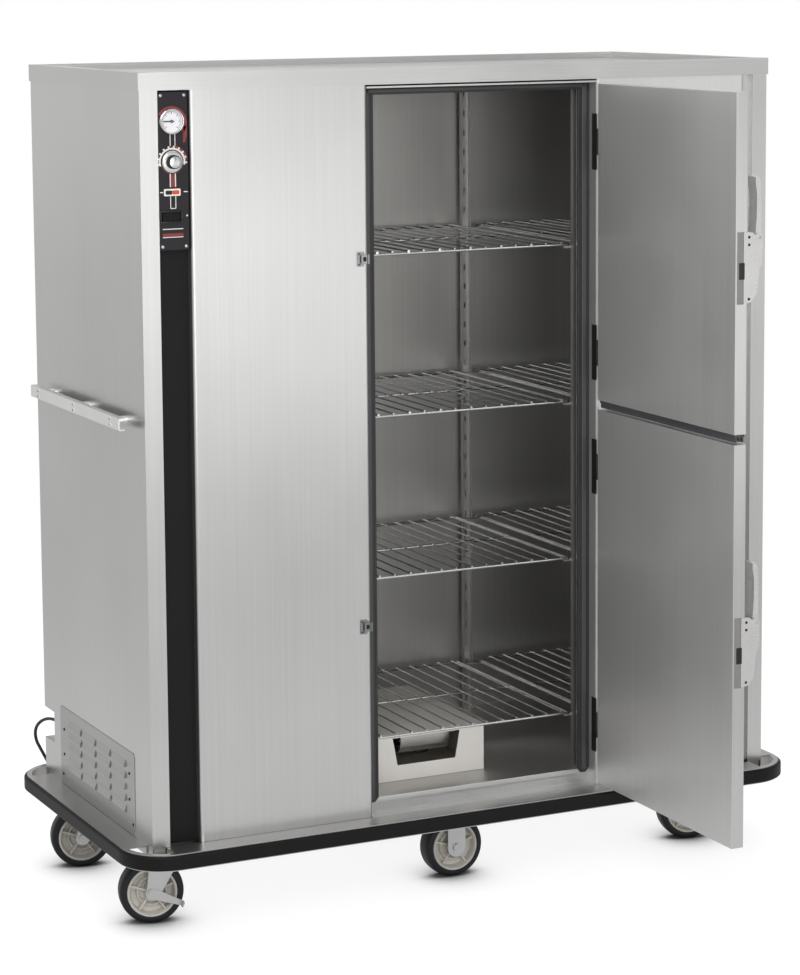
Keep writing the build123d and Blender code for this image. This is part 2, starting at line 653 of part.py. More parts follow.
def make_hinge_leaves():
    """The four fixed hinge halves: jamb leaf, wrap round the corner, middle knuckle and pin."""
    pieces = []
    for z in UPPER_HINGES + LOWER_HINGES:
        low = z - HINGE_HEIGHT / 2
        high = z + HINGE_HEIGHT / 2
        mid_low = z - HINGE_MIDDLE / 2
        mid_high = z + HINGE_MIDDLE / 2
        leaf = block(POCKET_RIGHT - LEAF_THICK, POCKET_RIGHT, FRONT, FRONT + LEAF_DEPTH, low, high)
        wrap = block(POCKET_RIGHT - LEAF_THICK, HINGE_X, FRONT - LEAF_WRAP, FRONT, mid_low, mid_high)
        web = block(HINGE_X - BARREL_R / 2, HINGE_X + BARREL_R / 2, HINGE_Y, FRONT, mid_low, mid_high)
        knuckle = rod((HINGE_X, HINGE_Y, mid_low), (HINGE_X, HINGE_Y, mid_high), BARREL_R)
        pin = rod((HINGE_X, HINGE_Y, low), (HINGE_X, HINGE_Y, high), HINGE_PIN_R)
        pieces.append(leaf + wrap + web + knuckle + pin)
    keep("hinge_leaves", *pieces)


# Doors are drawn shut and then swung open about the hinge pins

def open_door(shape):
    pins = Pos(HINGE_X, HINGE_Y, 0)
    return pins * Rot(0, 0, REST_OPEN) * pins.inverse() * shape


def latch_recess(latch_bottom):
    """The shallow recess and the bolt hole in the free edge of a door."""
    plate_back = DOOR_BACK - POCKET_PLATE_INSET
    plate = block(DOOR_LEFT - SKIN, DOOR_LEFT + POCKET_PLATE_DEPTH, plate_back - POCKET_PLATE_WIDTH,
                  plate_back, latch_bottom, latch_bottom + LATCH_HEIGHT)
    hole_back = DOOR_BACK - BOLT_HOLE_INSET
    hole_low = latch_bottom + BOLT_HOLE_BOTTOM
    hole = block(DOOR_LEFT - SKIN, DOOR_LEFT + BOLT_HOLE_DEPTH, hole_back - BOLT_HOLE_WIDTH, hole_back,
                 hole_low, hole_low + BOLT_HOLE_HEIGHT)
    return plate, hole


def make_door(name, bottom, height, latch_bottom):
    """The outer pan of a door and the inner sheet that closes it."""
    top = bottom + height
    outside = block(DOOR_LEFT, DOOR_RIGHT, FRONT, DOOR_BACK - DOOR_SHEET, bottom, top)
    outside = fillet(outside.edges().filter_by(Axis.Z).group_by(Axis.Y)[0], DOOR_EDGE_R)
    inside = block(DOOR_LEFT + DOOR_SHEET, DOOR_RIGHT - DOOR_SHEET, FRONT + DOOR_SHEET, DOOR_BACK,
                   bottom + DOOR_SHEET, top - DOOR_SHEET)
    pan = outside - inside
    plate, hole = latch_recess(latch_bottom)
    wall = DOOR_SHEET
    recess_box = block(DOOR_LEFT, DOOR_LEFT + POCKET_PLATE_DEPTH + wall,
                       DOOR_BACK - POCKET_PLATE_INSET - POCKET_PLATE_WIDTH - wall,
                       DOOR_BACK - POCKET_PLATE_INSET + wall,
                       latch_bottom - wall, latch_bottom + LATCH_HEIGHT + wall)
    pan = pan + recess_box - plate - hole
    keep(name + "_panel", open_door(pan))
    sheet = block(DOOR_LEFT, DOOR_RIGHT, DOOR_BACK - DOOR_SHEET, DOOR_BACK, bottom, top)
    keep(name + "_inner_sheet", open_door(sheet))


def make_door_seal():
    """The flexible bar under the upper door that closes the gap to the lower one."""
    bar = block(DOOR_LEFT + SEAL_INSET, DOOR_RIGHT - SEAL_INSET, FRONT + SEAL_INSET,
                DOOR_BACK - SEAL_INSET, UPPER_DOOR_BOTTOM - SEAL_DROP, UPPER_DOOR_BOTTOM)
    keep("upper_door_seal", open_door(bar))


def make_door_straps(name, heights):
    """The hinge straps on a door's outer face, each with its two end knuckles."""
    pieces = []
    knuckle = (HINGE_HEIGHT - HINGE_MIDDLE) / 2 - FIT
    for z in heights:
        low = z - HINGE_HEIGHT / 2
        high = z + HINGE_HEIGHT / 2
        strap = block(DOOR_RIGHT - STRAP_LENGTH, DOOR_RIGHT, FRONT - FIT - STRAP_THICK, FRONT, low, high)
        for end_low, end_high in ((low, low + knuckle), (high - knuckle, high)):
            arm = block(DOOR_RIGHT - FIT, HINGE_X, FRONT - FIT - STRAP_THICK, FRONT - FIT, end_low, end_high)
            barrel = rod((HINGE_X, HINGE_Y, end_low), (HINGE_X, HINGE_Y, end_high), BARREL_R)
            strap += arm + barrel
        strap -= rod((HINGE_X, HINGE_Y, low - SKIN), (HINGE_X, HINGE_Y, high + SKIN), HINGE_PIN_R + RUNNING)
        for x_share in (0.25, 0.6):
            for z_share in (0.2, 0.8):
                x = DOOR_RIGHT - STRAP_LENGTH * (1 - x_share)
                strap += screw_on_front(x, low + HINGE_HEIGHT * z_share, FRONT - FIT - STRAP_THICK)
        pieces.append(open_door(strap))
    keep(name, *pieces)


def lever_pivot(latch_bottom):
    """The height and depth of a latch lever's pin."""
    return latch_bottom + LATCH_HEIGHT - LEVER_PIVOT_DROP, FRONT - LEVER_GAP - LEVER_THICK / 2


def make_latch(name, latch_bottom):
    """An edge-mounted latch: a cast body on the door's face, a flange on its edge, and a lever."""
    x_low = DOOR_LEFT
    x_high = DOOR_LEFT + LATCH_WIDTH
    top = latch_bottom + LATCH_HEIGHT
    profile = Polyline((FRONT, latch_bottom), (FRONT - LATCH_FOOT_PROUD, latch_bottom),
                       (FRONT - LATCH_FOOT_PROUD, latch_bottom + LATCH_TAPER_HEIGHT * 0.8),
                       (FRONT - LATCH_PROUD, latch_bottom + LATCH_TAPER_HEIGHT),
                       (FRONT - LATCH_PROUD, top), (FRONT, top), close=True)
    face = make_face(Plane.YZ * profile)
    body = Pos(x_low, 0, 0) * extrude(face, LATCH_WIDTH, dir=(1, 0, 0))
    outer_edges = body.edges().filter_by(Axis.Z).group_by(Axis.Y)[0]
    body = fillet(outer_edges, LATCH_EDGE_R)
    flange = block(x_low - LATCH_FLANGE_THICK, x_low, FRONT - LATCH_FLANGE_THICK, FRONT + LATCH_FLANGE,
                   latch_bottom, top + LEVER_SLOT_GAP)
    body += flange
    pivot_z, pivot_y = lever_pivot(latch_bottom)
    slot_low = pivot_z - LEVER_THICK
    side = (LATCH_WIDTH - LEVER_WIDTH) / 2
    slot = block(x_low + side - LEVER_SLOT_GAP, x_high - side + LEVER_SLOT_GAP,
                 FRONT - LATCH_PROUD - SKIN, FRONT - LEVER_GAP + LEVER_THICK / 2, slot_low, top + SKIN)
    body -= slot
    body += rod((x_low + side / 2, pivot_y, pivot_z), (x_high - side / 2, pivot_y, pivot_z), LEVER_PIN_R)
    screw_y = FRONT + LATCH_FLANGE / 2
    for z in (latch_bottom + 11, latch_bottom + 134, latch_bottom + 150):
        body += rod((x_low - LATCH_FLANGE_THICK, screw_y, z),
                    (x_low - LATCH_FLANGE_THICK - LATCH_SCREW_HEAD, screw_y, z), SCREW_HEAD_R)
    keep(name, open_door(body))

    half = LEVER_THICK / 2
    lever = block(x_low + side, x_high - side, pivot_y - half, pivot_y + half,
                  pivot_z, top + LEVER_LENGTH)
    tip_edges = lever.edges().filter_by(Axis.X).group_by(Axis.Z)[-1]
    lever = fillet(tip_edges, half * 0.9)
    root = rod((x_low + side, pivot_y, pivot_z), (x_high - side, pivot_y, pivot_z), half)
    bore = rod((x_low, pivot_y, pivot_z), (x_high, pivot_y, pivot_z), LEVER_PIN_R + RUNNING)
    keep(name + "_lever", open_door(lever + root - bore))


# Shelves

def wire_shelf(x_low, x_high, rod_z):
    """A wire shelf: two side rails, three cross bars, and thinner wires laid from front to back."""
    y = SHELF_DEPTH / 2
    left = x_low + ROD_R
    right = x_high - ROD_R
    front = -y + ROD_R
    bars = [rod((x, -y, rod_z), (x, y, rod_z), ROD_R) for x in (left, right)]
    bars += [rod((left, line, rod_z), (right, line, rod_z), BAR_R) for line in (front, 0, -front)]
    wire_z = rod_z + BAR_R + WIRE_R - WELD
    spaces = int((right - left) / WIRE_PITCH)
    first = (left + right) / 2 - spaces * WIRE_PITCH / 2
    for number in range(spaces + 1):
        x = first + number * WIRE_PITCH
        bars.append(rod((x, front, wire_z), (x, -front, wire_z), WIRE_R))
        if number % 2 == 0:
            bars.append(rod((x, front - WIRE_END, wire_z), (x, front + WIRE_END, wire_z), WIRE_END_R))
    return bars[0].fuse(*bars[1:])


def shelf_bays():
    """The left, middle and right bays, as low and high X of their shelves."""
    side = LINER_HALF - SKIN - UPRIGHT_WIDTH - SIDE_SHELF_GAP
    middle = (OPENING_LEFT + SHELF_SIDE_GAP, OPENING_RIGHT - SHELF_SIDE_GAP)
    left = (-side, middle[0] - 2 * UPRIGHT_OUTSIDE + SIDE_SHELF_GAP)
    right = (middle[1] + 2 * UPRIGHT_OUTSIDE - SIDE_SHELF_GAP, side)
    return left, middle, right


def make_shelves():
    left, middle, right = shelf_bays()
    first = SHELF_LEVELS[0]
    middle_shelf = wire_shelf(middle[0], middle[1], first)
    left_shelf = wire_shelf(left[0], left[1], first)
    right_shelf = wire_shelf(right[0], right[1], first)
    side_shelves = []
    for number, level in enumerate(SHELF_LEVELS, start=1):
        lift = Pos(0, 0, level - first)
        keep("shelf_%d" % number, lift * middle_shelf)
        side_shelves += [lift * left_shelf, lift * right_shelf]
    keep("side_shelves", *side_shelves)


def make_uprights():
    """Slotted channels from floor to ceiling, with a bar across their open side under every shelf's end."""
    left, middle, right = shelf_bays()
    floor = FLOOR_TOP
    ceiling = LINER_TOP - SKIN
    half = UPRIGHT_WIDTH / 2
    channel = block(-half, half, 0, UPRIGHT_DEPTH, floor, ceiling)
    channel -= block(-half + UPRIGHT_SHEET, half - UPRIGHT_SHEET, UPRIGHT_SHEET, UPRIGHT_DEPTH + SKIN,
                     floor - SKIN, ceiling + SKIN)
    count = int((ceiling - floor - UPRIGHT_SLOT_PITCH) / UPRIGHT_SLOT_PITCH)
    slots = []
    for number in range(count + 1):
        z = floor + UPRIGHT_SLOT_PITCH * (number + 0.5)
        slots.append(block(-UPRIGHT_SLOT_WIDTH / 2, UPRIGHT_SLOT_WIDTH / 2, -SKIN, 2 * UPRIGHT_SHEET,
                           z, z + UPRIGHT_SLOT_HEIGHT))
    channel = channel.cut(*slots)
    y = SHELF_DEPTH / 2
    rail = 2 * ROD_R
    inner_left = middle[0] - UPRIGHT_OUTSIDE + SIDE_SHELF_GAP / 2
    inner_right = middle[1] + UPRIGHT_OUTSIDE - SIDE_SHELF_GAP / 2
    outer = LINER_HALF - SKIN - half
    reach = {-outer: (-outer - half, left[0] + rail), inner_left: (left[1] - rail, middle[0] + rail),
             inner_right: (middle[1] - rail, right[0] + rail), outer: (right[1] - rail, outer + half)}
    pieces = []
    for x, (bar_left, bar_right) in reach.items():
        for row, turn in ((-1, 0), (1, 180)):
            pieces.append(Pos(x, row * y, 0) * Rot(0, 0, turn) * channel)
            open_side = row * (y - UPRIGHT_DEPTH)
            y_pair = sorted((open_side, open_side - row * BAR_WIDTH))
            for level in SHELF_LEVELS:
                top = level - ROD_R - FIT
                pieces.append(block(bar_left, bar_right, y_pair[0], y_pair[1], top - BAR_THICK, top))
    keep("shelf_uprights", *pieces)


# Heater

def make_heater():
    """The heater box on the floor of the cabinet, with its vent, baffle and element."""
    left = HEATER_LEFT
    right = left + HEATER_WIDTH
    front = HEATER_FRONT
    back = front + HEATER_DEPTH
    bottom = FLOOR_TOP + FIT
    top = bottom + HEATER_HEIGHT
    outside = block(left, right, front, back, bottom, top)
    inside = block(left + HEATER_SHEET, right - HEATER_SHEET, front + HEATER_SHEET, back - HEATER_SHEET,
                   bottom + HEATER_SHEET, top - HEATER_SHEET)
    middle = (left + right) / 2
    vent_low = bottom + VENT_BOTTOM
    vent_high = vent_low + VENT_HEIGHT
    vent = make_face(Plane.XZ * Polyline((middle - VENT_BOTTOM_WIDTH / 2, vent_low),
                                         (middle + VENT_BOTTOM_WIDTH / 2, vent_low),
                                         (middle + VENT_TOP_WIDTH / 2, vent_high),
                                         (middle - VENT_TOP_WIDTH / 2, vent_high), close=True))
    cut = Pos(0, front - SKIN, 0) * extrude(vent, HEATER_SHEET + 2 * SKIN, dir=(0, 1, 0))
    baffle = block(middle - VENT_TOP_WIDTH / 2, middle - VENT_TOP_WIDTH / 2 + BAFFLE_WIDTH,
                   front + BAFFLE_SETBACK, front + BAFFLE_SETBACK + HEATER_SHEET,
                   top - BAFFLE_HEIGHT, top - HEATER_SHEET / 2)
    keep("heater_box", outside - inside - cut + baffle)

    element_z = bottom + ELEMENT_HEIGHT
    end_y = back - HEATER_SHEET
    far_y = end_y - ELEMENT_REACH
    x_lines = [middle + ELEMENT_BEND * 2 * step for step in (-1.5, -0.5, 0.5, 1.5)]
    path = FilletPolyline((x_lines[0], end_y, element_z), (x_lines[0], far_y, element_z),
                          (x_lines[1], far_y, element_z), (x_lines[1], end_y - 2 * ELEMENT_BEND, element_z),
                          (x_lines[2], end_y - 2 * ELEMENT_BEND, element_z), (x_lines[2], far_y, element_z),
                          (x_lines[3], far_y, element_z), (x_lines[3], end_y, element_z),
                          radius=ELEMENT_BEND * 0.98)
    section = Plane(origin=path @ 0, z_dir=path % 0) * Circle(ELEMENT_R)
    keep("heating_element", sweep(section, path=path))


# Base, bumper and handles

def make_base_frame():
    """A folded pan with three cross channels and the fixed plates and kingpins of the swivel casters."""
    x = RIGHT - BASE_INSET
    y = REAR - BASE_INSET
    rim = PANEL_BOTTOM - SKIN
    pan = block(-x, x, -y, y, BASE_BOTTOM, rim)
    pan -= block(-x + BASE_SHEET, x - BASE_SHEET, -y + BASE_SHEET, y - BASE_SHEET,
                 BASE_BOTTOM + BASE_SHEET, rim + SKIN)
    top = FLOOR_TOP - SKIN
    cross_y = LINER_BACK - CROSS_INSET
    half = CROSS_WIDTH / 2
    for centre in (-SWIVEL_X, RIGID_X, SWIVEL_X):
        cross = block(centre - half, centre + half, -cross_y, cross_y, BASE_BOTTOM, top)
        cross -= block(centre - half + BASE_SHEET, centre + half - BASE_SHEET, -cross_y + BASE_SHEET,
                       cross_y - BASE_SHEET, BASE_BOTTOM + BASE_SHEET, top - BASE_SHEET)
        pan += cross
    for x_axis in (-SWIVEL_X, SWIVEL_X):
        for y_axis in (-SWIVEL_Y, SWIVEL_Y):
            pan += block(x_axis - CASTER_PLATE_LENGTH / 2, x_axis + CASTER_PLATE_LENGTH / 2,
                         y_axis - CASTER_PLATE_WIDTH / 2, y_axis + CASTER_PLATE_WIDTH / 2,
                         BASE_BOTTOM - CASTER_PLATE, BASE_BOTTOM)
            pan += rod((x_axis, y_axis, BASE_BOTTOM - CASTER_PLATE - KINGPIN_REACH),
                       (x_axis, y_axis, BASE_BOTTOM), KINGPIN_R)
    keep("base_frame", pan)


def ring(outset, z_low, z_high):
    """A rounded rectangle of given reach beyond the body, between two heights."""
    radius = BUMPER_CORNER_R - (BUMPER_REACH - outset)
    outline = RectangleRounded(BODY_WIDTH + 2 * outset, BODY_DEPTH + 2 * outset, radius)
    return Pos(0, 0, z_low) * extrude(outline, z_high - z_low)


def make_bumper():
    """An aluminium channel all round, joined to the body by flat flanges, and the rubber in it."""
    rubber_top = RUBBER_BOTTOM + RUBBER_HEIGHT
    web_out = BUMPER_REACH - RUBBER_THICK
    web_in = web_out - RAIL_WEB
    rail_bottom = RUBBER_BOTTOM - RAIL_LIP
    rail_top = rubber_top + RAIL_LIP
    lip_out = web_out + RAIL_LIP_REACH
    rail = ring(lip_out, rail_bottom, rail_top) - ring(web_in, rail_bottom - SKIN, rail_top + SKIN)
    groove = ring(lip_out + SKIN, RUBBER_BOTTOM, rubber_top) - ring(web_out, RUBBER_BOTTOM, rubber_top)
    rail -= groove
    x_edge = RIGHT - CORNER_GAP
    y_edge = REAR - CORNER_GAP
    x_far = RIGHT + web_out - RAIL_WEB / 2
    y_far = REAR + web_out - RAIL_WEB / 2
    low = rubber_top
    for side in (-1, 1):
        y_pair = sorted((side * REAR, side * y_far))
        x_pair = sorted((side * RIGHT, side * x_far))
        rail += block(-x_edge, x_edge, y_pair[0], y_pair[1], low, rail_top)
        rail += block(x_pair[0], x_pair[1], -y_edge, y_edge, low, rail_top)
        y_leg = sorted((side * REAR, side * (REAR + RAIL_WEB)))
        x_leg = sorted((side * RIGHT, side * (RIGHT + RAIL_WEB)))
        rail += block(-x_edge, x_edge, y_leg[0], y_leg[1], rail_top - RAIL_LEG, rail_top)
        rail += block(x_leg[0], x_leg[1], -y_edge, y_edge, rail_top - RAIL_LEG, rail_top)
    keep("bumper_rail", rail)

    rubber = ring(BUMPER_REACH, RUBBER_BOTTOM, rubber_top)
    rubber = fillet(rubber.edges().group_by(Axis.Z)[0] + rubber.edges().group_by(Axis.Z)[-1], RUBBER_ROUND)
    rubber -= ring(web_out, RUBBER_BOTTOM - SKIN, rubber_top + SKIN)
    keep("bumper_rubber", rubber)


def push_handle():
    """The left push handle: a channel on three round posts, fixed by pairs of screws."""
    outer = LEFT - HANDLE_STANDOFF - HANDLE_DEPTH
    inner = LEFT - HANDLE_STANDOFF
    half = HANDLE_HEIGHT / 2
    bar = block(outer, inner, -HANDLE_HALF_LENGTH, HANDLE_HALF_LENGTH, HANDLE_Z - half, HANDLE_Z + half)
    bar = fillet(bar.edges().filter_by(Axis.Y).group_by(Axis.X)[0], HANDLE_SHEET)
    bar -= block(outer + HANDLE_SHEET, inner + SKIN, -HANDLE_HALF_LENGTH - SKIN, HANDLE_HALF_LENGTH + SKIN,
                 HANDLE_Z - half + HANDLE_SHEET, HANDLE_Z + half - HANDLE_SHEET)
    for step in (-1, 0, 1):
        y = step * HANDLE_POST_PITCH
        bar += rod((LEFT, y, HANDLE_Z), (outer + HANDLE_SHEET / 2, y, HANDLE_Z), HANDLE_POST_R)
        for side in (-0.5, 0.5):
            z = HANDLE_Z + side * HANDLE_SCREW_SPACING
            bar += rod((outer, y, z), (outer - SCREW_HEAD, y, z), SCREW_HEAD_R)
    return bar


def make_handles():
    left = push_handle()
    keep("push_handles", left, mirror(left, about=Plane.YZ))


def make_louvre_panel():
    """The louvred cover over the air intake on the left side."""
    face = LEFT - LOUVRE_THICK
    plate = block(face, LEFT, LOUVRE_FRONT, LOUVRE_REAR, LOUVRE_BOTTOM, LOUVRE_TOP)
    plate = fillet(plate.edges().filter_by(Axis.X).group_by(Axis.Z)[-1], LOUVRE_CORNER_R)
    hoods = []
    slots = []
    for column in range(LOUVRE_COLUMNS):
        for row in range(LOUVRE_ROWS):
            y = LOUVRE_FIRST_Y + column * LOUVRE_PITCH_Y
            z = LOUVRE_FIRST_Z + row * LOUVRE_PITCH_Z
            wedge = make_face(Plane.XZ * Polyline((face, z), (face - LOUVRE_HOOD_PROUD, z),
                                                  (face, z + LOUVRE_HOOD_HEIGHT), close=True))
            hoods.append(Pos(0, y - LOUVRE_LENGTH / 2, 0) * extrude(wedge, LOUVRE_LENGTH, dir=(0, 1, 0)))
            slots.append(block(face - LOUVRE_HOOD_PROUD + SKIN, LEFT + SKIN, y - LOUVRE_LENGTH / 2 + SKIN,
                               y + LOUVRE_LENGTH / 2 - SKIN, z - SKIN, z + LOUVRE_SLOT / 2))
    plate = plate.fuse(*hoods).cut(*slots)
    for y, z in LOUVRE_SCREWS:
        plate += rod((face, y, z), (face - SCREW_HEAD, y, z), SCREW_HEAD_R)
    keep("louvre_panel", plate)


# Casters, drawn with the wheel's axle along Y and the swivel axis at the origin

def wheel():
    """A solid tyre on a ribbed hub, its axle along Y through the origin."""
    half = WHEEL_WIDTH / 2
    tyre = rod((0, -half, 0), (0, half, 0), WHEEL_R)
    tyre = fillet(tyre.edges().filter_by(GeomType.CIRCLE), TYRE_ROUND)
    rim_r = WHEEL_R - TYRE_THICK
    tyre -= rod((0, -half - SKIN, 0), (0, half + SKIN, 0), rim_r)
    hub = rod((0, -half, 0), (0, half, 0), rim_r) - rod((0, -half - SKIN, 0), (0, half + SKIN, 0),
                                                       rim_r - RIM_THICK)
    hub += rod((0, -HUB_WEB / 2, 0), (0, HUB_WEB / 2, 0), rim_r - RIM_THICK / 2)
    hub += rod((0, -HUB_BOSS_WIDTH / 2, 0), (0, HUB_BOSS_WIDTH / 2, 0), HUB_BOSS_R)
    for number in range(HUB_RIBS):
        rib = block(HUB_BOSS_R / 2, rim_r - RIM_THICK / 2, -half * 0.8, half * 0.8,
                    -HUB_RIB_THICK / 2, HUB_RIB_THICK / 2)
        hub += Rot(0, 360 / HUB_RIBS * number + 90, 0) * rib
    hub -= rod((0, -HUB_BOSS_WIDTH, 0), (0, HUB_BOSS_WIDTH, 0), AXLE_R + RUNNING)
    return Compound([tyre, hub])


def axle():
    """The axle bolt with a head outside each fork leg."""
    bolt = rod((0, -LEG_OUTSIDE, 0), (0, LEG_OUTSIDE, 0), AXLE_R)
    for side in (-1, 1):
        bolt += rod((0, side * LEG_OUTSIDE, 0), (0, side * (LEG_OUTSIDE + AXLE_HEAD), 0), AXLE_HEAD_R)
    return bolt


def swivel_fork():
    """The turning fork of a swivel caster, its legs tapering to the trailing axle."""
    crown = rod((0, 0, CROWN_BOTTOM), (0, 0, CROWN_TOP), CROWN_R)
    bore_r = KINGPIN_R + RUNNING
    crown -= rod((0, 0, CROWN_BOTTOM - SKIN), (0, 0, CROWN_TOP + SKIN), bore_r)
    leg_top = CROWN_TOP - FIT
    shape = make_face(Plane.XZ * Polyline((-FORK_TOP_WIDTH / 2, leg_top), (FORK_TOP_WIDTH / 2 - 8, leg_top),
                                          (FORK_TOP_WIDTH / 2 - 8, leg_top - CROWN_THICK),
                                          (-CASTER_TRAIL + FORK_FOOT_R * 0.9, WHEEL_Z - FORK_FOOT_R * 0.45),
                                          (-CASTER_TRAIL - FORK_FOOT_R * 0.9, WHEEL_Z - FORK_FOOT_R * 0.3),
                                          (-FORK_TOP_WIDTH / 2 - 8, leg_top - CROWN_THICK * 2), close=True))
    fork = crown
    for side in (-1, 1):
        y_pair = sorted((side * LEG_OFFSET, side * LEG_OUTSIDE))
        leg = Pos(0, y_pair[0], 0) * extrude(shape, FORK_SHEET, dir=(0, 1, 0))
        leg += rod((-CASTER_TRAIL, y_pair[0], WHEEL_Z), (-CASTER_TRAIL, y_pair[1], WHEEL_Z), FORK_FOOT_R)
        fork += leg
    bridge = block(-FORK_TOP_WIDTH / 2, FORK_TOP_WIDTH / 2 - 8, -LEG_OUTSIDE, LEG_OUTSIDE,
                   CROWN_BOTTOM + CROWN_THICK / 2, leg_top)
    bridge -= rod((0, 0, CROWN_BOTTOM - SKIN), (0, 0, CROWN_TOP + SKIN), bore_r)
    return fork + bridge + Pos(-CASTER_TRAIL, 0, WHEEL_Z) * axle()


def brake_lever():
    """A flat brake lever on the axle, outside the near leg, with a foot pad at its tip."""
    near = -LEG_OUTSIDE - FIT
    far = near - BRAKE_THICK
    plate = rod((0, near, 0), (0, far, 0), BRAKE_ROOT_R) + rod((BRAKE_LENGTH, near, 0),
                                                              (BRAKE_LENGTH, far, 0), BRAKE_TIP_R)
    arm = make_face(Plane.XZ * Polyline((0, BRAKE_ROOT_R), (BRAKE_LENGTH, BRAKE_TIP_R),
                                        (BRAKE_LENGTH, -BRAKE_TIP_R), (0, -BRAKE_ROOT_R), close=True))
    plate += Pos(0, far, 0) * extrude(arm, BRAKE_THICK, dir=(0, 1, 0))
    plate += block(BRAKE_LENGTH, BRAKE_LENGTH + BRAKE_THICK, far - BRAKE_PAD, near,
                   -BRAKE_TIP_R, BRAKE_TIP_R)
    plate -= rod((0, near + SKIN, 0), (0, far - SKIN, 0), AXLE_HEAD_R + RUNNING)
    return Rot(0, BRAKE_DROOP, 0) * plate


def make_casters():
    fork = swivel_fork()
    roller = wheel()
    lever = brake_lever()
    corners = (("front_left", -1, -1), ("rear_left", -1, 1), ("front_right", 1, -1), ("rear_right", 1, 1))
    for name, x_side, y_side in corners:
        place = Pos(x_side * SWIVEL_X, y_side * SWIVEL_Y, 0) * Rot(0, 0, -CASTER_TURN)
        hub_place = place * Pos(-CASTER_TRAIL, 0, WHEEL_Z)
        keep(name + "_fork", place * fork)
        keep(name + "_wheel", hub_place * roller)
        if y_side < 0:
            keep(name + "_brake", hub_place * lever)
    forks = []
    for name, y_side in (("front_middle", -1), ("rear_middle", 1)):
        place = Pos(RIGID_X, y_side * RIGID_Y, WHEEL_Z)
        keep(name + "_wheel", place * roller)
        forks.append(place * rigid_fork())
    keep("rigid_forks", *forks)


def rigid_fork():
    """The fixed fork of a middle caster, its straight legs rounded at the foot."""
    top = BASE_BOTTOM - WHEEL_Z
    half = RIGID_LEG_WIDTH / 2
    plate = block(-CASTER_PLATE_LENGTH / 2, CASTER_PLATE_LENGTH / 2, -CASTER_PLATE_WIDTH / 2,
                  CASTER_PLATE_WIDTH / 2, top - CASTER_PLATE, top)
    fork = plate + axle()
    for side in (-1, 1):
        y_pair = sorted((side * LEG_OFFSET, side * LEG_OUTSIDE))
        fork += block(-half, half, y_pair[0], y_pair[1], 0, top)
        fork += rod((0, y_pair[0], 0), (0, y_pair[1], 0), half)
    return fork


# Cord

def cord_route():
    """The free stretch: out of the recess, over and down behind the bumper, along the floor."""
    exit_y = NOTCH_FRONT + RELIEF_FLANGE + RELIEF_LENGTH
    coil_start = coil_points()[0]
    return [(CORD_ENTRY_X, exit_y, CORD_ENTRY_Z), (CORD_ENTRY_X, exit_y + 46, CORD_ENTRY_Z),
            (-800, 440, 330), (-812, 472, 304), (-812, 476, 270), (-798, 464, 238), (-776, 468, 196),
            (-742, 480, 142), (-700, 484, 92), (-650, 492, 52), (-596, 500, 22),
            (-536, 506, 9), (-462, 504, coil_start[2] + 0.5),
            (coil_start[0] - 70, coil_start[1], coil_start[2]), coil_start]


def tangent_radii(points):
    """For every corner the radius that 0.45 of its shorter run allows."""
    radii = []
    for before, corner, after in zip(points, points[1:], points[2:]):
        run_in = Vector(*corner) - Vector(*before)
        run_out = Vector(*after) - Vector(*corner)
        turn = math.radians(run_in.get_angle(run_out))
        radii.append(0.45 * min(run_in.length, run_out.length) / math.tan(turn / 2))
    return radii


def coil_radii():
    """The coil's largest and least radius."""
    half_spread = COIL_TURNS * COIL_PITCH / 2
    return COIL_MEAN_R + half_spread, COIL_MEAN_R - half_spread


def coil_points():
    """The ends of the coil's half turns: in by a pitch a turn, up a layer, and out again above."""
    outer, inner = coil_radii()
    lead = 2 * CORD_R
    upper = COIL_Z + COIL_LAYER
    points = [(COIL_X - lead, COIL_Y - outer, COIL_Z), (COIL_X, COIL_Y - outer, COIL_Z)]
    for turn in range(1, COIL_TURNS + 1):
        radius = outer - turn * COIL_PITCH
        points.append((COIL_X, COIL_Y + radius, COIL_Z))
        if turn < COIL_TURNS:
            points.append((COIL_X, COIL_Y - radius, COIL_Z))
    points.append((COIL_X, COIL_Y - inner, upper))
    for turn in range(1, COIL_TURNS + 1):
        radius = inner + turn * COIL_PITCH
        points.append((COIL_X, COIL_Y + radius, upper))
        points.append((COIL_X, COIL_Y - radius, upper))
    points.append((COIL_X + COIL_TAIL, COIL_Y - outer, upper))
    return points


def coil_path():
    """Half circles between the coil's corners, with a straight run of one diameter at each end."""
    points = coil_points()
    pieces = [Line(points[0], points[1])]
    side = 1
    for start, end in zip(points[1:-2], points[2:-1]):
        middle = (Vector(*start) + Vector(*end)) * 0.5
        reach = (Vector(*end) - Vector(*start)).length / 2
        crest = (middle.X + side * reach, middle.Y, middle.Z)
        pieces.append(ThreePointArc(start, crest, end))
        side = -side
    pieces.append(Line(points[-2], points[-1]))
    return pieces


def least_self_gap(pieces):
    """The least distance between stretches of the coil that aren't neighbours, less the cord's diameter."""
    samples = []
    run = 0.0
    for piece in pieces:
        count = 24
        for number in range(count):
            samples.append((run + piece.length * number / count, piece @ (number / count)))
        run += piece.length
    least = run
    for index, (place, point) in enumerate(samples):
        for other_place, other in samples[index + 1:]:
            if other_place - place > 6 * CORD_R:
                least = min(least, (other - point).length)
    return least - 2 * CORD_R


def tube(path, radius):
    """A round tube along a path."""
    section = Plane(origin=path @ 0, z_dir=path % 0) * Circle(radius)
    return sweep(section, path=path)


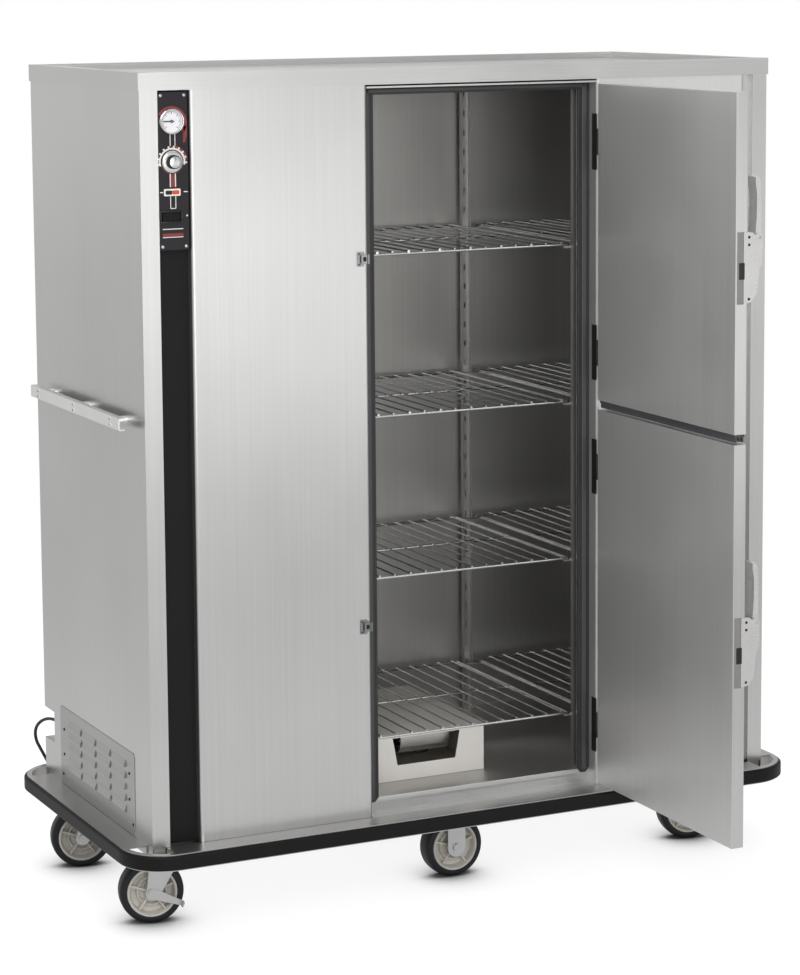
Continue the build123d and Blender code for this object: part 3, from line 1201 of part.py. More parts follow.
def make_cord():
    points = cord_route()
    radii = tangent_radii(points)
    print("cord radii", [round(value, 1) for value in radii])
    path = FilletPolyline(*points, radius=radii)
    cord = tube(path, CORD_R)
    expected = math.pi * CORD_R ** 2 * path.length
    print("cord volume", round(cord.volume), "section times length", round(expected))
    keep("power_cord", cord)

    pieces = coil_path()
    coil_wire = Wire([edge for piece in pieces for edge in piece.edges()])
    print("coil least self gap", round(least_self_gap(pieces), 2))
    print("coil length", round(coil_wire.length), "free length", round(path.length))
    coil = tube(coil_wire, CORD_R)
    print("coil volume", round(coil.volume), "expected", round(math.pi * CORD_R ** 2 * coil_wire.length))
    keep("cord_coil", coil)

    wall_y = NOTCH_FRONT
    flange = rod((CORD_ENTRY_X, wall_y, CORD_ENTRY_Z), (CORD_ENTRY_X, wall_y + RELIEF_FLANGE, CORD_ENTRY_Z),
                 RELIEF_FLANGE_R)
    sleeve_plane = Plane(origin=(CORD_ENTRY_X, wall_y + RELIEF_FLANGE, CORD_ENTRY_Z), z_dir=(0, 1, 0))
    sleeve = sleeve_plane * Cone(RELIEF_ROOT_R, RELIEF_TIP_R, RELIEF_LENGTH,
                                 align=(Align.CENTER, Align.CENTER, Align.MIN))
    keep("strain_relief", flange + sleeve)


def make_tie():
    """A flat strap round the coil's bundle, on the side away from its two ends."""
    coil_outer, coil_inner = coil_radii()
    outer = coil_outer + CORD_R + TIE_CLEARANCE
    inner = coil_inner - CORD_R - TIE_CLEARANCE
    top = COIL_Z + COIL_LAYER + CORD_R + TIE_CLEARANCE
    half = TIE_WIDTH / 2
    band = block(COIL_X - half, COIL_X + half, COIL_Y + inner - TIE_THICK, COIL_Y + outer + TIE_THICK,
                 0, top + TIE_THICK)
    band -= block(COIL_X - TIE_WIDTH, COIL_X + TIE_WIDTH, COIL_Y + inner, COIL_Y + outer, TIE_THICK, top)
    keep("cord_tie", band)


def make_plug():
    """A moulded three-pin plug on the coil's upper end."""
    x, y, z = coil_points()[-1]
    neck = rod((x, y, z), (x + PLUG_NECK, y, z), PLUG_NECK_R)
    start = x + PLUG_NECK
    body = block(start, start + PLUG_LENGTH, y - PLUG_WIDTH / 2, y + PLUG_WIDTH / 2,
                 z - PLUG_HEIGHT / 2, z + PLUG_HEIGHT / 2)
    body = fillet(body.edges().filter_by(Axis.X), PLUG_HEIGHT / 4)
    face = start + PLUG_LENGTH
    plug = neck + body
    for side in (-0.5, 0.5):
        blade_y = y + side * BLADE_SPACING
        plug += block(face, face + BLADE_LENGTH, blade_y - BLADE_THICK / 2, blade_y + BLADE_THICK / 2,
                      z + PLUG_HEIGHT * 0.1 - BLADE_WIDTH / 2, z + PLUG_HEIGHT * 0.1 + BLADE_WIDTH / 2)
    earth_z = z - PLUG_HEIGHT * 0.25
    plug += rod((face, y, earth_z), (face + BLADE_LENGTH, y, earth_z), EARTH_R)
    keep("plug", plug)


make_side_left()
make_side_right()
make_back_panel()
make_top_cap()
make_liner()
make_face_frame()
make_front_panels()
make_control_panel()
make_thermometer()
make_knob()
make_lamps()
make_rocker()
make_gasket()
make_strikes()
make_hinge_leaves()
make_door("upper_door", UPPER_DOOR_BOTTOM, UPPER_DOOR_HEIGHT, UPPER_LATCH_BOTTOM)
make_door("lower_door", LOWER_DOOR_BOTTOM, LOWER_DOOR_HEIGHT, LOWER_LATCH_BOTTOM)
make_door_seal()
make_door_straps("upper_door_straps", UPPER_HINGES)
make_door_straps("lower_door_straps", LOWER_HINGES)
make_latch("upper_latch", UPPER_LATCH_BOTTOM)
make_latch("lower_latch", LOWER_LATCH_BOTTOM)
make_shelves()
make_uprights()
make_heater()
make_base_frame()
make_bumper()
make_handles()
make_louvre_panel()
make_casters()
make_cord()
make_tie()
make_plug()

os.makedirs("parts", exist_ok=True)
for node_name, node_solids in NODES.items():
    placed = [REST_SHIFT * solid for solid in node_solids]
    shape = placed[0] if len(placed) == 1 else Compound(children=placed)
    export_step(shape, "parts/" + node_name + ".step")
print("nodes", len(NODES), "shift", REST_SHIFT.position)
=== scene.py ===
import math

import bpy
from mathutils import Matrix, Vector


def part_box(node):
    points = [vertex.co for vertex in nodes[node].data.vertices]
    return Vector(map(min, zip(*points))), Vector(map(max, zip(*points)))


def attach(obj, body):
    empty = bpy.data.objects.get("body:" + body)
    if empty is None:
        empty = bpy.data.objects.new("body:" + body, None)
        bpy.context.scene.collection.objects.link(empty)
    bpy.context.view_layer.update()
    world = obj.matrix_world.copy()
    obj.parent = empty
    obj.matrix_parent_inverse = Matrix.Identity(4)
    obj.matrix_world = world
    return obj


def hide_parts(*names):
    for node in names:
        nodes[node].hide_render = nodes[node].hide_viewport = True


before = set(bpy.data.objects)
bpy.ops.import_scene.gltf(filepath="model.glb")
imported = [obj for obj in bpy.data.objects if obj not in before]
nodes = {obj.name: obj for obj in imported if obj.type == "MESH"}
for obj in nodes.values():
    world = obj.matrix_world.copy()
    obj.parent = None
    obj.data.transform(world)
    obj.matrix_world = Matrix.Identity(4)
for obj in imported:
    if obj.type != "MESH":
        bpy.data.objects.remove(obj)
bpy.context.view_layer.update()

# Sizes that the whole scene shares. The cabinet is drawn in millimetres about the middle of its
# body, with the floor at zero, and REST_SHIFT carries that to the frame's own origin.
MM = 0.001
REST_SHIFT = 285.15
BODY_LEFT = -820.0
BODY_RIGHT = 820.0
BODY_FRONT = -370.0
BODY_REAR = 370.0


def at(x, y, z):
    """A place on the cabinet in millimetres, as metres in the frame."""
    return Vector((x, y + REST_SHIFT, z)) * MM


# Camera: in front of the cabinet and to its left, a little above its top, looking slightly down

CAMERA_PLACE = (-3.0789, -6.03415, 2.1949)
CAMERA_TURN = (0.4424, -0.1237, -0.0087)
CAMERA_LENS = 105.88
CAMERA_SHIFT = (0.0308, -0.1615)


def set_camera():
    yaw, pitch, roll = CAMERA_TURN
    forward = Vector((math.sin(yaw) * math.cos(pitch), math.cos(yaw) * math.cos(pitch),
                      math.sin(pitch)))
    level_right = Vector((math.cos(yaw), -math.sin(yaw), 0))
    level_up = level_right.cross(forward)
    right = level_right * math.cos(roll) + level_up * math.sin(roll)
    up = level_up * math.cos(roll) - level_right * math.sin(roll)
    data = bpy.data.cameras.new("photo_camera")
    data.sensor_width = 36.0
    data.lens = CAMERA_LENS
    data.shift_x, data.shift_y = CAMERA_SHIFT
    data.clip_end = 60.0
    camera = bpy.data.objects.new("photo_camera", data)
    turn = Matrix((right, up, -forward)).transposed().to_4x4()
    camera.matrix_world = Matrix.Translation(CAMERA_PLACE) @ turn
    bpy.context.scene.collection.objects.link(camera)
    bpy.context.scene.camera = camera


set_camera()


# Modelling helpers

def deselect_all():
    if bpy.context.object and bpy.context.object.mode != "OBJECT":
        bpy.ops.object.mode_set(mode="OBJECT")
    bpy.ops.object.select_all(action="DESELECT")


def pick(piece):
    deselect_all()
    piece.select_set(True)
    bpy.context.view_layer.objects.active = piece


def settle(piece):
    """Moves the piece's place, turn and size into its mesh."""
    pick(piece)
    bpy.ops.object.transform_apply(location=True, rotation=True, scale=True)
    return piece


def finish_with(piece, kind, **settings):
    """Adds a modifier and applies it."""
    pick(piece)
    modifier = piece.modifiers.new(kind.lower(), kind)
    for key, value in settings.items():
        setattr(modifier, key, value)
    bpy.ops.object.modifier_apply(modifier=modifier.name)
    return piece


# Materials

def tone(hex_colour):
    """An sRGB hex colour as the linear colour that a shader takes."""
    parts = [int(hex_colour[i:i + 2], 16) / 255 for i in (1, 3, 5)]
    return [p / 12.92 if p <= 0.04045 else ((p + 0.055) / 1.055) ** 2.4 for p in parts] + [1.0]


def new_material(name, **surface):
    material = bpy.data.materials.new(name)
    material.use_nodes = True
    shader = material.node_tree.nodes["Principled BSDF"]
    for key, value in surface.items():
        shader.inputs[key.replace("_", " ")].default_value = value
    return material, shader


def add(material, kind, links, **settings):
    """Adds a node. links gives each input, by name or number, a value or another node's output."""
    node = material.node_tree.nodes.new(kind)
    for key, value in settings.items():
        setattr(node, key, value)
    for key, value in links.items():
        if isinstance(value, bpy.types.NodeSocket):
            material.node_tree.links.new(value, node.inputs[key])
        else:
            node.inputs[key].default_value = value
    return node


def join(material, output, target):
    material.node_tree.links.new(output, target)


GRAIN_PITCH = 4.0
GRAIN_LENGTH = 900.0
GRAIN_SPREAD = {"From Min": 0.7, "From Max": 1.3}


def brushed_sheet(name, colour, dark_colour, roughness, grain, bump=0.000006, anisotropic=0.6):
    """Stainless sheet with a satin brushed grain. Satin lines are a tenth of a millimetre apart,
    too fine to show, so they are drawn 4 mm apart and the eye reads them as a soft upright sheen."""
    material, shader = new_material(name, Metallic=1.0, Anisotropic=anisotropic)
    place = add(material, "ShaderNodeTexCoord", {})
    across = 1 / (GRAIN_PITCH * MM)
    along = 1 / (GRAIN_LENGTH * MM)
    scale = [along if axis == grain else across for axis in "XYZ"]
    stretched = add(material, "ShaderNodeMapping", {"Vector": place.outputs["Object"], "Scale": scale})
    lines = add(material, "ShaderNodeTexNoise", {"Vector": stretched.outputs[0], "Scale": 1.0,
                                                 "Detail": 3.0, "Roughness": 0.65})
    cloud = add(material, "ShaderNodeTexNoise", {"Vector": place.outputs["Object"], "Scale": 2.6,
                                                 "Detail": 2.0})
    mixed = add(material, "ShaderNodeMath", {0: lines.outputs["Fac"], 1: cloud.outputs["Fac"]},
                operation="ADD")
    colour_mix = add(material, "ShaderNodeMapRange", {"Value": mixed.outputs[0], **GRAIN_SPREAD,
                                                      "To Min": 0.0, "To Max": 1.0})
    blend = add(material, "ShaderNodeMix", {"Factor": colour_mix.outputs[0], 6: tone(dark_colour),
                                            7: tone(colour)}, data_type="RGBA")
    join(material, blend.outputs[2], shader.inputs["Base Color"])
    rough = add(material, "ShaderNodeMapRange", {"Value": mixed.outputs[0], **GRAIN_SPREAD,
                                                 "To Min": roughness - 0.02,
                                                 "To Max": roughness + 0.02})
    join(material, rough.outputs[0], shader.inputs["Roughness"])
    relief = add(material, "ShaderNodeBump", {"Height": lines.outputs["Fac"], "Strength": 0.25,
                                              "Distance": bump})
    join(material, relief.outputs[0], shader.inputs["Normal"])
    tangent = add(material, "ShaderNodeTangent", {}, direction_type="RADIAL", axis="Z")
    join(material, tangent.outputs[0], shader.inputs["Tangent"])
    return material


def plain_finish(name, colour, roughness, metallic=0.0, grain_mm=1.0, relief_mm=0.05, shift=0.04,
                 **surface):
    """A cast, moulded or plated finish: a fine even texture and a slight change of tone."""
    material, shader = new_material(name, Metallic=metallic, **surface)
    place = add(material, "ShaderNodeTexCoord", {})
    grit = add(material, "ShaderNodeTexNoise", {"Vector": place.outputs["Object"],
                                                "Scale": 1 / (grain_mm * MM), "Detail": 2.0})
    patches = add(material, "ShaderNodeTexNoise", {"Vector": place.outputs["Object"], "Scale": 14.0,
                                                   "Detail": 3.0})
    base = tone(colour)
    low = [value * (1 - 2 * shift) for value in base[:3]] + [1.0]
    high = [min(1.0, value * (1 + 2 * shift)) for value in base[:3]] + [1.0]
    blend = add(material, "ShaderNodeMix", {"Factor": patches.outputs["Fac"], 6: low, 7: high},
                data_type="RGBA")
    join(material, blend.outputs[2], shader.inputs["Base Color"])
    rough = add(material, "ShaderNodeMapRange", {"Value": grit.outputs["Fac"], "From Min": 0.3,
                                                 "From Max": 0.7, "To Min": roughness - 0.06,
                                                 "To Max": roughness + 0.06})
    join(material, rough.outputs[0], shader.inputs["Roughness"])
    bumps = add(material, "ShaderNodeBump", {"Height": grit.outputs["Fac"], "Strength": 0.3,
                                             "Distance": relief_mm * MM})
    join(material, bumps.outputs[0], shader.inputs["Normal"])
    return material


satin_upright = brushed_sheet("satin_stainless_upright_grain", "#cbcbca", "#c2c2c1", 0.32, "Z")
satin_across = brushed_sheet("satin_stainless_cross_grain", "#c9c9c8", "#c0c0bf", 0.32, "X")
door_sheet = brushed_sheet("satin_stainless_door_sheet", "#d8d8d7", "#cfcfce", 0.46, "Z")
liner_sheet = brushed_sheet("satin_stainless_liner", "#b6b5b2", "#aaa9a6", 0.42, "Z")
black_paint = plain_finish("black_painted_steel", "#0e0e0f", 0.5, grain_mm=0.8, relief_mm=0.02,
                           Specular_IOR_Level=0.2)
dark_panel = plain_finish("dark_grey_screen_printed_panel", "#221f22", 0.42, grain_mm=0.5,
                          relief_mm=0.01, Specular_IOR_Level=0.25)
bezel_chrome = plain_finish("satin_chrome_bezel", "#d6d6d6", 0.22, 1.0, grain_mm=0.5, relief_mm=0.005)
needle_black = plain_finish("black_enamel_needle", "#141414", 0.35, grain_mm=0.5, relief_mm=0.005)
knob_metal = plain_finish("spun_aluminium_knob", "#cfcfd0", 0.28, 1.0, grain_mm=0.6, relief_mm=0.01)
lamp_housing = plain_finish("white_moulded_lamp_bezel", "#e8e4da", 0.35, grain_mm=0.6, relief_mm=0.01)
seal_rubber = plain_finish("grey_silicone_seal", "#2a2a2b", 0.55, grain_mm=0.7, relief_mm=0.05)
strike_chrome = plain_finish("shaded_chrome_strike", "#8c8d8f", 0.24, 1.0, grain_mm=1.0, relief_mm=0.02)
hinge_steel = plain_finish("dark_plated_hinge_steel", "#5b5a58", 0.32, 1.0, grain_mm=0.8,
                           relief_mm=0.02)
recess_steel = plain_finish("shaded_recess_steel", "#8f8f8e", 0.45, 0.8, grain_mm=0.8, relief_mm=0.02)
latch_cast = plain_finish("satin_cast_latch", "#cac9c7", 0.30, 0.75, grain_mm=0.8, relief_mm=0.04)
shelf_wire = plain_finish("plated_shelf_wire", "#c6c6c6", 0.20, 1.0, grain_mm=1.0, relief_mm=0.02)
element_steel = plain_finish("heater_element_sheath", "#4a4340", 0.45, 1.0, grain_mm=0.8,
                             relief_mm=0.03)
aluminised = plain_finish("aluminised_steel_box", "#bcbab6", 0.36, 1.0, grain_mm=1.5, relief_mm=0.03)
bumper_metal = plain_finish("extruded_aluminium_rail", "#bdbcba", 0.34, 1.0, grain_mm=1.0,
                            relief_mm=0.02)
bumper_rubber = plain_finish("black_bumper_rubber", "#0b0b0c", 0.5, grain_mm=0.9, relief_mm=0.06,
                             Specular_IOR_Level=0.2)
handle_metal = plain_finish("anodised_aluminium_handle", "#e6e6e5", 0.40, 1.0, grain_mm=0.8,
                            relief_mm=0.02)
zinc = plain_finish("zinc_plated_steel", "#b9bab9", 0.33, 1.0, grain_mm=1.6, relief_mm=0.03, shift=0.06)
tyre_rubber = plain_finish("dark_polyurethane_tyre", "#15171b", 0.48, grain_mm=0.9, relief_mm=0.05,
                           Specular_IOR_Level=0.3)
hub_polymer = plain_finish("grey_moulded_hub", "#c9c6bd", 0.48, grain_mm=0.9, relief_mm=0.03)
cord_jacket = plain_finish("black_cord_jacket", "#131313", 0.5, grain_mm=0.6, relief_mm=0.04)
plug_moulding = plain_finish("black_moulded_plug", "#161616", 0.48, grain_mm=0.7, relief_mm=0.04)
tie_strap = plain_finish("black_strap_webbing", "#1a1a1a", 0.8, grain_mm=0.8, relief_mm=0.1)
seal_ridge = plain_finish("slate_silicone_ridge", "#434345", 0.42, grain_mm=0.7, relief_mm=0.04)
print_red = plain_finish("dark_red_screen_print", "#7c2a2e", 0.45, grain_mm=0.5, relief_mm=0.004)
print_white = plain_finish("white_screen_print", "#dedbd6", 0.45, grain_mm=0.5, relief_mm=0.004,
                           shift=0.02)
dial_face = plain_finish("silver_white_dial_face", "#e4e4e6", 0.32, grain_mm=0.5, relief_mm=0.004,
                         shift=0.02)
# Besides the switch, grip, pointer and dial ticks, this black also stands as painted shade in each
# latch's edge hole.
black_moulding_and_hole_shade = plain_finish("black_moulded_switch_and_painted_hole_shade", "#0c0c0d", 0.32, grain_mm=0.5, relief_mm=0.01)
# This dark finish also stands as painted shade in the screw sockets and the strikes' slots.
dark_screws_and_socket_shade = plain_finish("dark_screws_and_painted_socket_shade", "#1d1d1f", 0.35, 0.6, grain_mm=0.5, relief_mm=0.01)
lens_dark = plain_finish("unlit_green_black_lens", "#12201c", 0.12, grain_mm=3.0, relief_mm=0.004)
lens_red = plain_finish("unlit_orange_red_lens", "#d24a30", 0.12, grain_mm=3.0, relief_mm=0.004)
# Painted light: the heater box's aluminised sheet is coloured lighter than the other aluminised steel,
# to stand in for light that the shade inside the cabinet takes away.
heater_sheet_painted_lighter = plain_finish("aluminised_heater_painted_lighter", "#e2dfda", 0.5, 0.6, grain_mm=1.5,
                            relief_mm=0.02, shift=0.02)
louvre_gap = plain_finish("shaded_louvre_gap", "#727271", 0.6, grain_mm=0.6, relief_mm=0.01)
louvre_sheet = brushed_sheet("satin_stainless_louvre", "#b4b4b3", "#a6a6a5", 0.34, "Y")

FINISHES = {
    "side_left": satin_upright, "side_right": satin_upright, "back_panel": satin_upright,
    "top_cap": satin_across, "liner": liner_sheet, "face_frame": satin_upright,
    "left_panel": satin_upright, "right_panel": door_sheet, "black_strip": black_paint,
    "control_panel": dark_panel, "thermometer": bezel_chrome, "thermometer_needle": needle_black,
    "thermostat_knob": knob_metal, "indicator_lights": lamp_housing, "rocker_switch": black_paint,
    "gasket": seal_rubber, "strikes": strike_chrome, "hinge_leaves": hinge_steel,
    "upper_door_panel": satin_upright, "upper_door_inner_sheet": door_sheet,
    "upper_door_seal": seal_rubber, "upper_door_straps": hinge_steel, "upper_latch": latch_cast,
    "upper_latch_lever": latch_cast, "lower_door_panel": satin_upright,
    "lower_door_inner_sheet": door_sheet, "lower_door_straps": hinge_steel,
    "lower_latch": latch_cast, "lower_latch_lever": latch_cast, "side_shelves": shelf_wire,
    "shelf_1": shelf_wire, "shelf_2": shelf_wire, "shelf_3": shelf_wire, "shelf_4": shelf_wire,
    "shelf_uprights": liner_sheet, "heater_box": aluminised, "heating_element": element_steel,
    "base_frame": aluminised, "bumper_rail": bumper_metal, "bumper_rubber": bumper_rubber,
    "push_handles": handle_metal, "louvre_panel": louvre_sheet, "rigid_forks": zinc,
    "front_left_fork": zinc, "rear_left_fork": zinc, "front_right_fork": zinc,
    "rear_right_fork": zinc, "front_left_brake": zinc, "front_right_brake": zinc,
    "front_left_wheel": hub_polymer, "rear_left_wheel": hub_polymer, "front_right_wheel": hub_polymer,
    "rear_right_wheel": hub_polymer, "front_middle_wheel": hub_polymer,
    "rear_middle_wheel": hub_polymer, "strain_relief": plug_moulding, "power_cord": cord_jacket,
    "cord_coil": cord_jacket, "cord_tie": tie_strap, "plug": plug_moulding,
}


def dress(name, *materials):
    mesh = nodes[name].data
    mesh.materials.clear()
    for material in materials:
        mesh.materials.append(material)


for node_name, finish in FINISHES.items():
    dress(node_name, finish)


# Cord: out of the recess, down behind the bumper, along the floor and into a tied coil

CORD_WIDTH = 8.0
CORD_ROUTE = [
    (-793, 335, 343), (-793, 381, 343), (-800, 440, 330), (-812, 472, 304), (-812, 476, 270),
    (-798, 464, 238), (-776, 468, 196), (-742, 480, 142), (-700, 484, 92), (-650, 492, 52),
    (-596, 500, 22), (-536, 506, 9), (-462, 504, 6.7), (-378, 498.6, 6.2), (-308, 498.6, 6.2),
]
COIL_CENTRE = (-300.0, 560.0)
COIL_OUTER = 61.4
COIL_PITCH = 8.7
COIL_TURNS = 4
COIL_LOW = 6.2
COIL_HIGH = 14.9
COIL_TAIL = 46.0
HALF_TURN_POINTS = 8


def coil_turns():
    """The coil's half turns, in along the floor and out again on top, as points of the cord's line."""
    inner = COIL_OUTER - COIL_TURNS * COIL_PITCH
    x, y = COIL_CENTRE
    ends = [(-COIL_OUTER, COIL_LOW)]
    for turn in range(1, COIL_TURNS + 1):
        radius = COIL_OUTER - turn * COIL_PITCH
        ends.append((radius, COIL_LOW))
        if turn < COIL_TURNS:
            ends.append((-radius, COIL_LOW))
    ends.append((-inner, COIL_HIGH))
    for turn in range(1, COIL_TURNS + 1):
        radius = inner + turn * COIL_PITCH
        ends.append((radius, COIL_HIGH))
        ends.append((-radius, COIL_HIGH))
    # The line runs inside its points, so these lie outside the turn by that much.
    outset = 1 / (0.75 + 0.25 * math.cos(math.pi / HALF_TURN_POINTS))
    points = []
    side = 1
    for (start, low), (end, high) in zip(ends, ends[1:]):
        middle = (start + end) / 2
        reach = abs(end - start) / 2 * outset
        sign = 1 if end > start else -1
        for step in range(HALF_TURN_POINTS):
            share = (step + 0.5) / HALF_TURN_POINTS
            angle = math.pi * share
            points.append((x + side * reach * math.sin(angle),
                           y + middle - sign * reach * math.cos(angle), low + (high - low) * share))
        side = -side
    points.append((x + CORD_WIDTH, y - COIL_OUTER, COIL_HIGH))
    points.append((x + COIL_TAIL, y - COIL_OUTER, COIL_HIGH))
    return points


def make_cord():
    """One smooth round cable from the strain relief to the plug."""
    line = bpy.data.curves.new("mains_cord", "CURVE")
    line.dimensions = "3D"
    line.bevel_depth = CORD_WIDTH / 2 * MM
    line.bevel_resolution = 4
    line.resolution_u = 6
    line.use_fill_caps = True
    spline = line.splines.new("NURBS")
    route = CORD_ROUTE + coil_turns()
    spline.points.add(len(route) - 1)
    for point, place in zip(spline.points, route):
        point.co = (*at(*place), 1.0)
    spline.order_u = 3
    spline.use_endpoint_u = True
    cord = bpy.data.objects.new("mains_cord", line)
    bpy.context.scene.collection.objects.link(cord)
    cord.data.materials.append(cord_jacket)
    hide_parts("power_cord", "cord_coil")
    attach(cord, "cabinet")


make_cord()


# Shapes: each starts from a primitive or a flat outline at its size and place

def wearing(piece, material):
    piece.data.materials.clear()
    piece.data.materials.append(material)
    return piece


def smooth(piece, degrees=40):
    """Faces turned outwards, and shaded smooth except across sharp corners."""
    pick(piece)
    bpy.ops.object.mode_set(mode="EDIT")
    bpy.ops.mesh.select_all(action="SELECT")
    bpy.ops.mesh.remove_doubles(threshold=0.000002)
    bpy.ops.mesh.normals_make_consistent(inside=False)
    bpy.ops.object.mode_set(mode="OBJECT")
    bpy.ops.object.shade_smooth_by_angle(angle=math.radians(degrees))
    return piece


def turned_to(piece, centre, axis, roll=0.0):
    """Stands a piece that was made about the world's Z axis on its own axis and centre."""
    turn = Vector(axis).to_track_quat("Z", "Y").to_matrix().to_4x4()
    piece.matrix_world = Matrix.Translation(at(*centre)) @ turn @ Matrix.Rotation(roll, 4, "Z")
    return settle(piece)


def block(low, high, material, round_mm=0.0, steps=2):
    """A bar or plate between two corners, with rounded edges."""
    deselect_all()
    middle = [(a + b) / 2 for a, b in zip(low, high)]
    bpy.ops.mesh.primitive_cube_add(size=1, location=at(*middle))
    piece = bpy.context.object
    piece.scale = [abs(b - a) * MM for a, b in zip(low, high)]
    settle(piece)
    if round_mm:
        finish_with(piece, "BEVEL", width=round_mm * MM, segments=steps)
    return smooth(wearing(piece, material))


def lathe(profile, material, sides=64, ring=False):
    """A turned shape about the world's Z axis, from places along the axis and radii, in mm."""
    deselect_all()
    place, radius = profile[0]
    bpy.ops.mesh.primitive_circle_add(vertices=sides, radius=radius * MM, location=(0, 0, place * MM),
                                      fill_type="NOTHING" if ring else "NGON")
    piece = settle(bpy.context.object)
    bpy.ops.object.mode_set(mode="EDIT")
    bpy.ops.mesh.select_all(action="SELECT")
    for (before, old), (after, new) in zip(profile, profile[1:] + (profile[:1] if ring else [])):
        step = (0, 0, (after - before) * MM)
        bpy.ops.mesh.extrude_region_move(TRANSFORM_OT_translate={"value": step})
        bpy.ops.transform.resize(value=(new / old, new / old, 1), center_override=(0, 0, 0))
    bpy.ops.object.mode_set(mode="OBJECT")
    return smooth(wearing(piece, material))


def rounded(corners, steps=5):
    """An outline in mm with its corners rounded, each corner given as x, y and how far it is cut."""
    points = []
    for number, (x, y, cut) in enumerate(corners):
        corner = Vector((x, y))
        ends = [Vector(corners[number - 1][:2]), Vector(corners[(number + 1) % len(corners)][:2])]
        if not cut:
            points.append((x, y))
            continue
        start, end = [corner + (other - corner).normalized() * cut for other in ends]
        for step in range(steps + 1):
            share = step / steps
            points.append(tuple(start * (1 - share) ** 2 + corner * 2 * share * (1 - share)
                                + end * share ** 2))
    return points


def sheet(outline, thick, material, round_mm=0.0, holes=()):
    """A flat shape about the world's XY plane from its outline in mm, with rounded edges."""
    deselect_all()
    line = bpy.data.curves.new("outline", "CURVE")
    line.dimensions = "2D"
    line.fill_mode = "BOTH"
    line.extrude = thick / 2 * MM
    for loop in (outline, *holes):
        spline = line.splines.new("POLY")
        spline.points.add(len(loop) - 1)
        for point, (x, y) in zip(spline.points, loop):
            point.co = (x * MM, y * MM, 0, 1)
        spline.use_cyclic_u = True
    piece = bpy.data.objects.new("outline", line)
    bpy.context.scene.collection.objects.link(piece)
    pick(piece)
    bpy.ops.object.convert(target="MESH")
    piece = smooth(wearing(bpy.context.object, material))
    if round_mm:
        finish_with(piece, "BEVEL", width=round_mm * MM, segments=3, angle_limit=math.radians(50))
    return smooth(piece)


UPRIGHT = Matrix.Rotation(math.pi / 2, 4, "X")
SIDEWAYS = Matrix.Rotation(math.pi / 2, 4, "Z") @ UPRIGHT


def stood(piece, x, y, z, turn=UPRIGHT):
    """Turns a flat shape out of the world's XY plane and moves it to its place in mm."""
    piece.matrix_world = Matrix.Translation(at(x, y, z)) @ turn
    return settle(piece)


def facing_front(piece, y, lift=0.0):
    """Stands a flat shape upright: its x stays, its y becomes height, its middle lies at depth y."""
    return stood(piece, 0, y, lift)


def arc_outline(centre, inner, outer, start, end, steps=48):
    """A ring's sector between two angles in degrees, counted from the right and up."""
    angles = [math.radians(start + (end - start) * step / steps) for step in range(steps + 1)]
    points = [(centre[0] + outer * math.cos(a), centre[1] + outer * math.sin(a)) for a in angles]
    return points + [(centre[0] + inner * math.cos(a), centre[1] + inner * math.sin(a))
                     for a in reversed(angles)]


def united(pieces):
    deselect_all()
    for piece in pieces:
        piece.select_set(True)
    bpy.context.view_layer.objects.active = pieces[0]
    bpy.ops.object.join()
    return pieces[0]


def twin(piece, matrix):
    """A copy with a mesh of its own, moved by a matrix."""
    other = piece.copy()
    other.data = piece.data.copy()
    bpy.context.scene.collection.objects.link(other)
    other.matrix_world = matrix
    return settle(other)


def mount(piece, name, body, slot_name, *replaced):
    piece.name = name
    piece.data.name = name
    if replaced:
        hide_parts(*replaced)
    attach(piece, body)
    return piece


# Wheels: a dark tyre on a pale ribbed hub

TYRE_PROFILE = [(-20, 59), (-24.4, 60), (-25, 62.5), (-24.6, 68), (-22.6, 72.4), (-18, 75), (-9, 75.9),
                (9, 75.9), (18, 75), (22.6, 72.4), (24.6, 68), (25, 62.5), (24.4, 60), (20, 59)]
HUB_SIDE = [(20, 59.2), (24.6, 59), (26.2, 57.6), (26.2, 54.6), (24.4, 53), (12, 51.5), (6, 49.5),
            (4, 45), (4, 37), (13, 36), (14.4, 34.6), (14.4, 32.6), (13, 31), (4.6, 29), (5.4, 20),
            (9, 17.5), (24, 15.6), (26.2, 14), (26.5, 9), (26.5, 6.4)]
RIB_COUNT = 5
RIB_LOW = (15, -2.6, -19.5)
RIB_HIGH = (52.2, 2.6, 19.5)
CASTER_TURN = math.radians(-12.0)
CASTER_TRAIL = 45.0
SWIVEL_X = 730.0
SWIVEL_Y = 240.0
RIGID_X = 10.0
RIGID_Y = 235.0
WHEEL_Z = 76.0


def make_wheel():
    """One wheel about the world's Z axis, to be copied to each axle."""
    tyre = lathe(TYRE_PROFILE, tyre_rubber, 96, ring=True)
    back_side = [(-place, radius) for place, radius in reversed(HUB_SIDE)]
    parts = [tyre, lathe(HUB_SIDE + back_side, hub_polymer, 96, ring=True)]
    for number in range(RIB_COUNT):
        rib = block(RIB_LOW, RIB_HIGH, hub_polymer, 1.2)
        rib.data.transform(Matrix.Translation((0, -REST_SHIFT * MM, 0)))
        turn = math.radians(360 / RIB_COUNT * number + 90)
        parts.append(twin(rib, Matrix.Rotation(turn, 4, "Z")))
        bpy.data.objects.remove(rib)
    return united(parts)


def make_wheels():
    model = make_wheel()
    for row, y_side in (("front", -1), ("rear", 1)):
        for column, x_side in (("left", -1), ("middle", 0), ("right", 1)):
            turn = 0.0 if x_side == 0 else CASTER_TURN
            swivel_x = x_side * SWIVEL_X if x_side else RIGID_X
            swivel_y = y_side * (SWIVEL_Y if x_side else RIGID_Y)
            trail = CASTER_TRAIL if x_side else 0.0
            centre = at(swivel_x - trail * math.cos(turn), swivel_y - trail * math.sin(turn), WHEEL_Z)
            place = Matrix.Translation(centre) @ Matrix.Rotation(turn, 4, "Z") @ UPRIGHT
            name = "%s_%s" % (row, column)
            mount(twin(model, place), name + "_caster_wheel", name + "_roller", "wheel",
                  name + "_wheel")
    bpy.data.objects.remove(model)


make_wheels()


# Control panel: prints a quarter of a millimetre proud, lamps, dial and knob

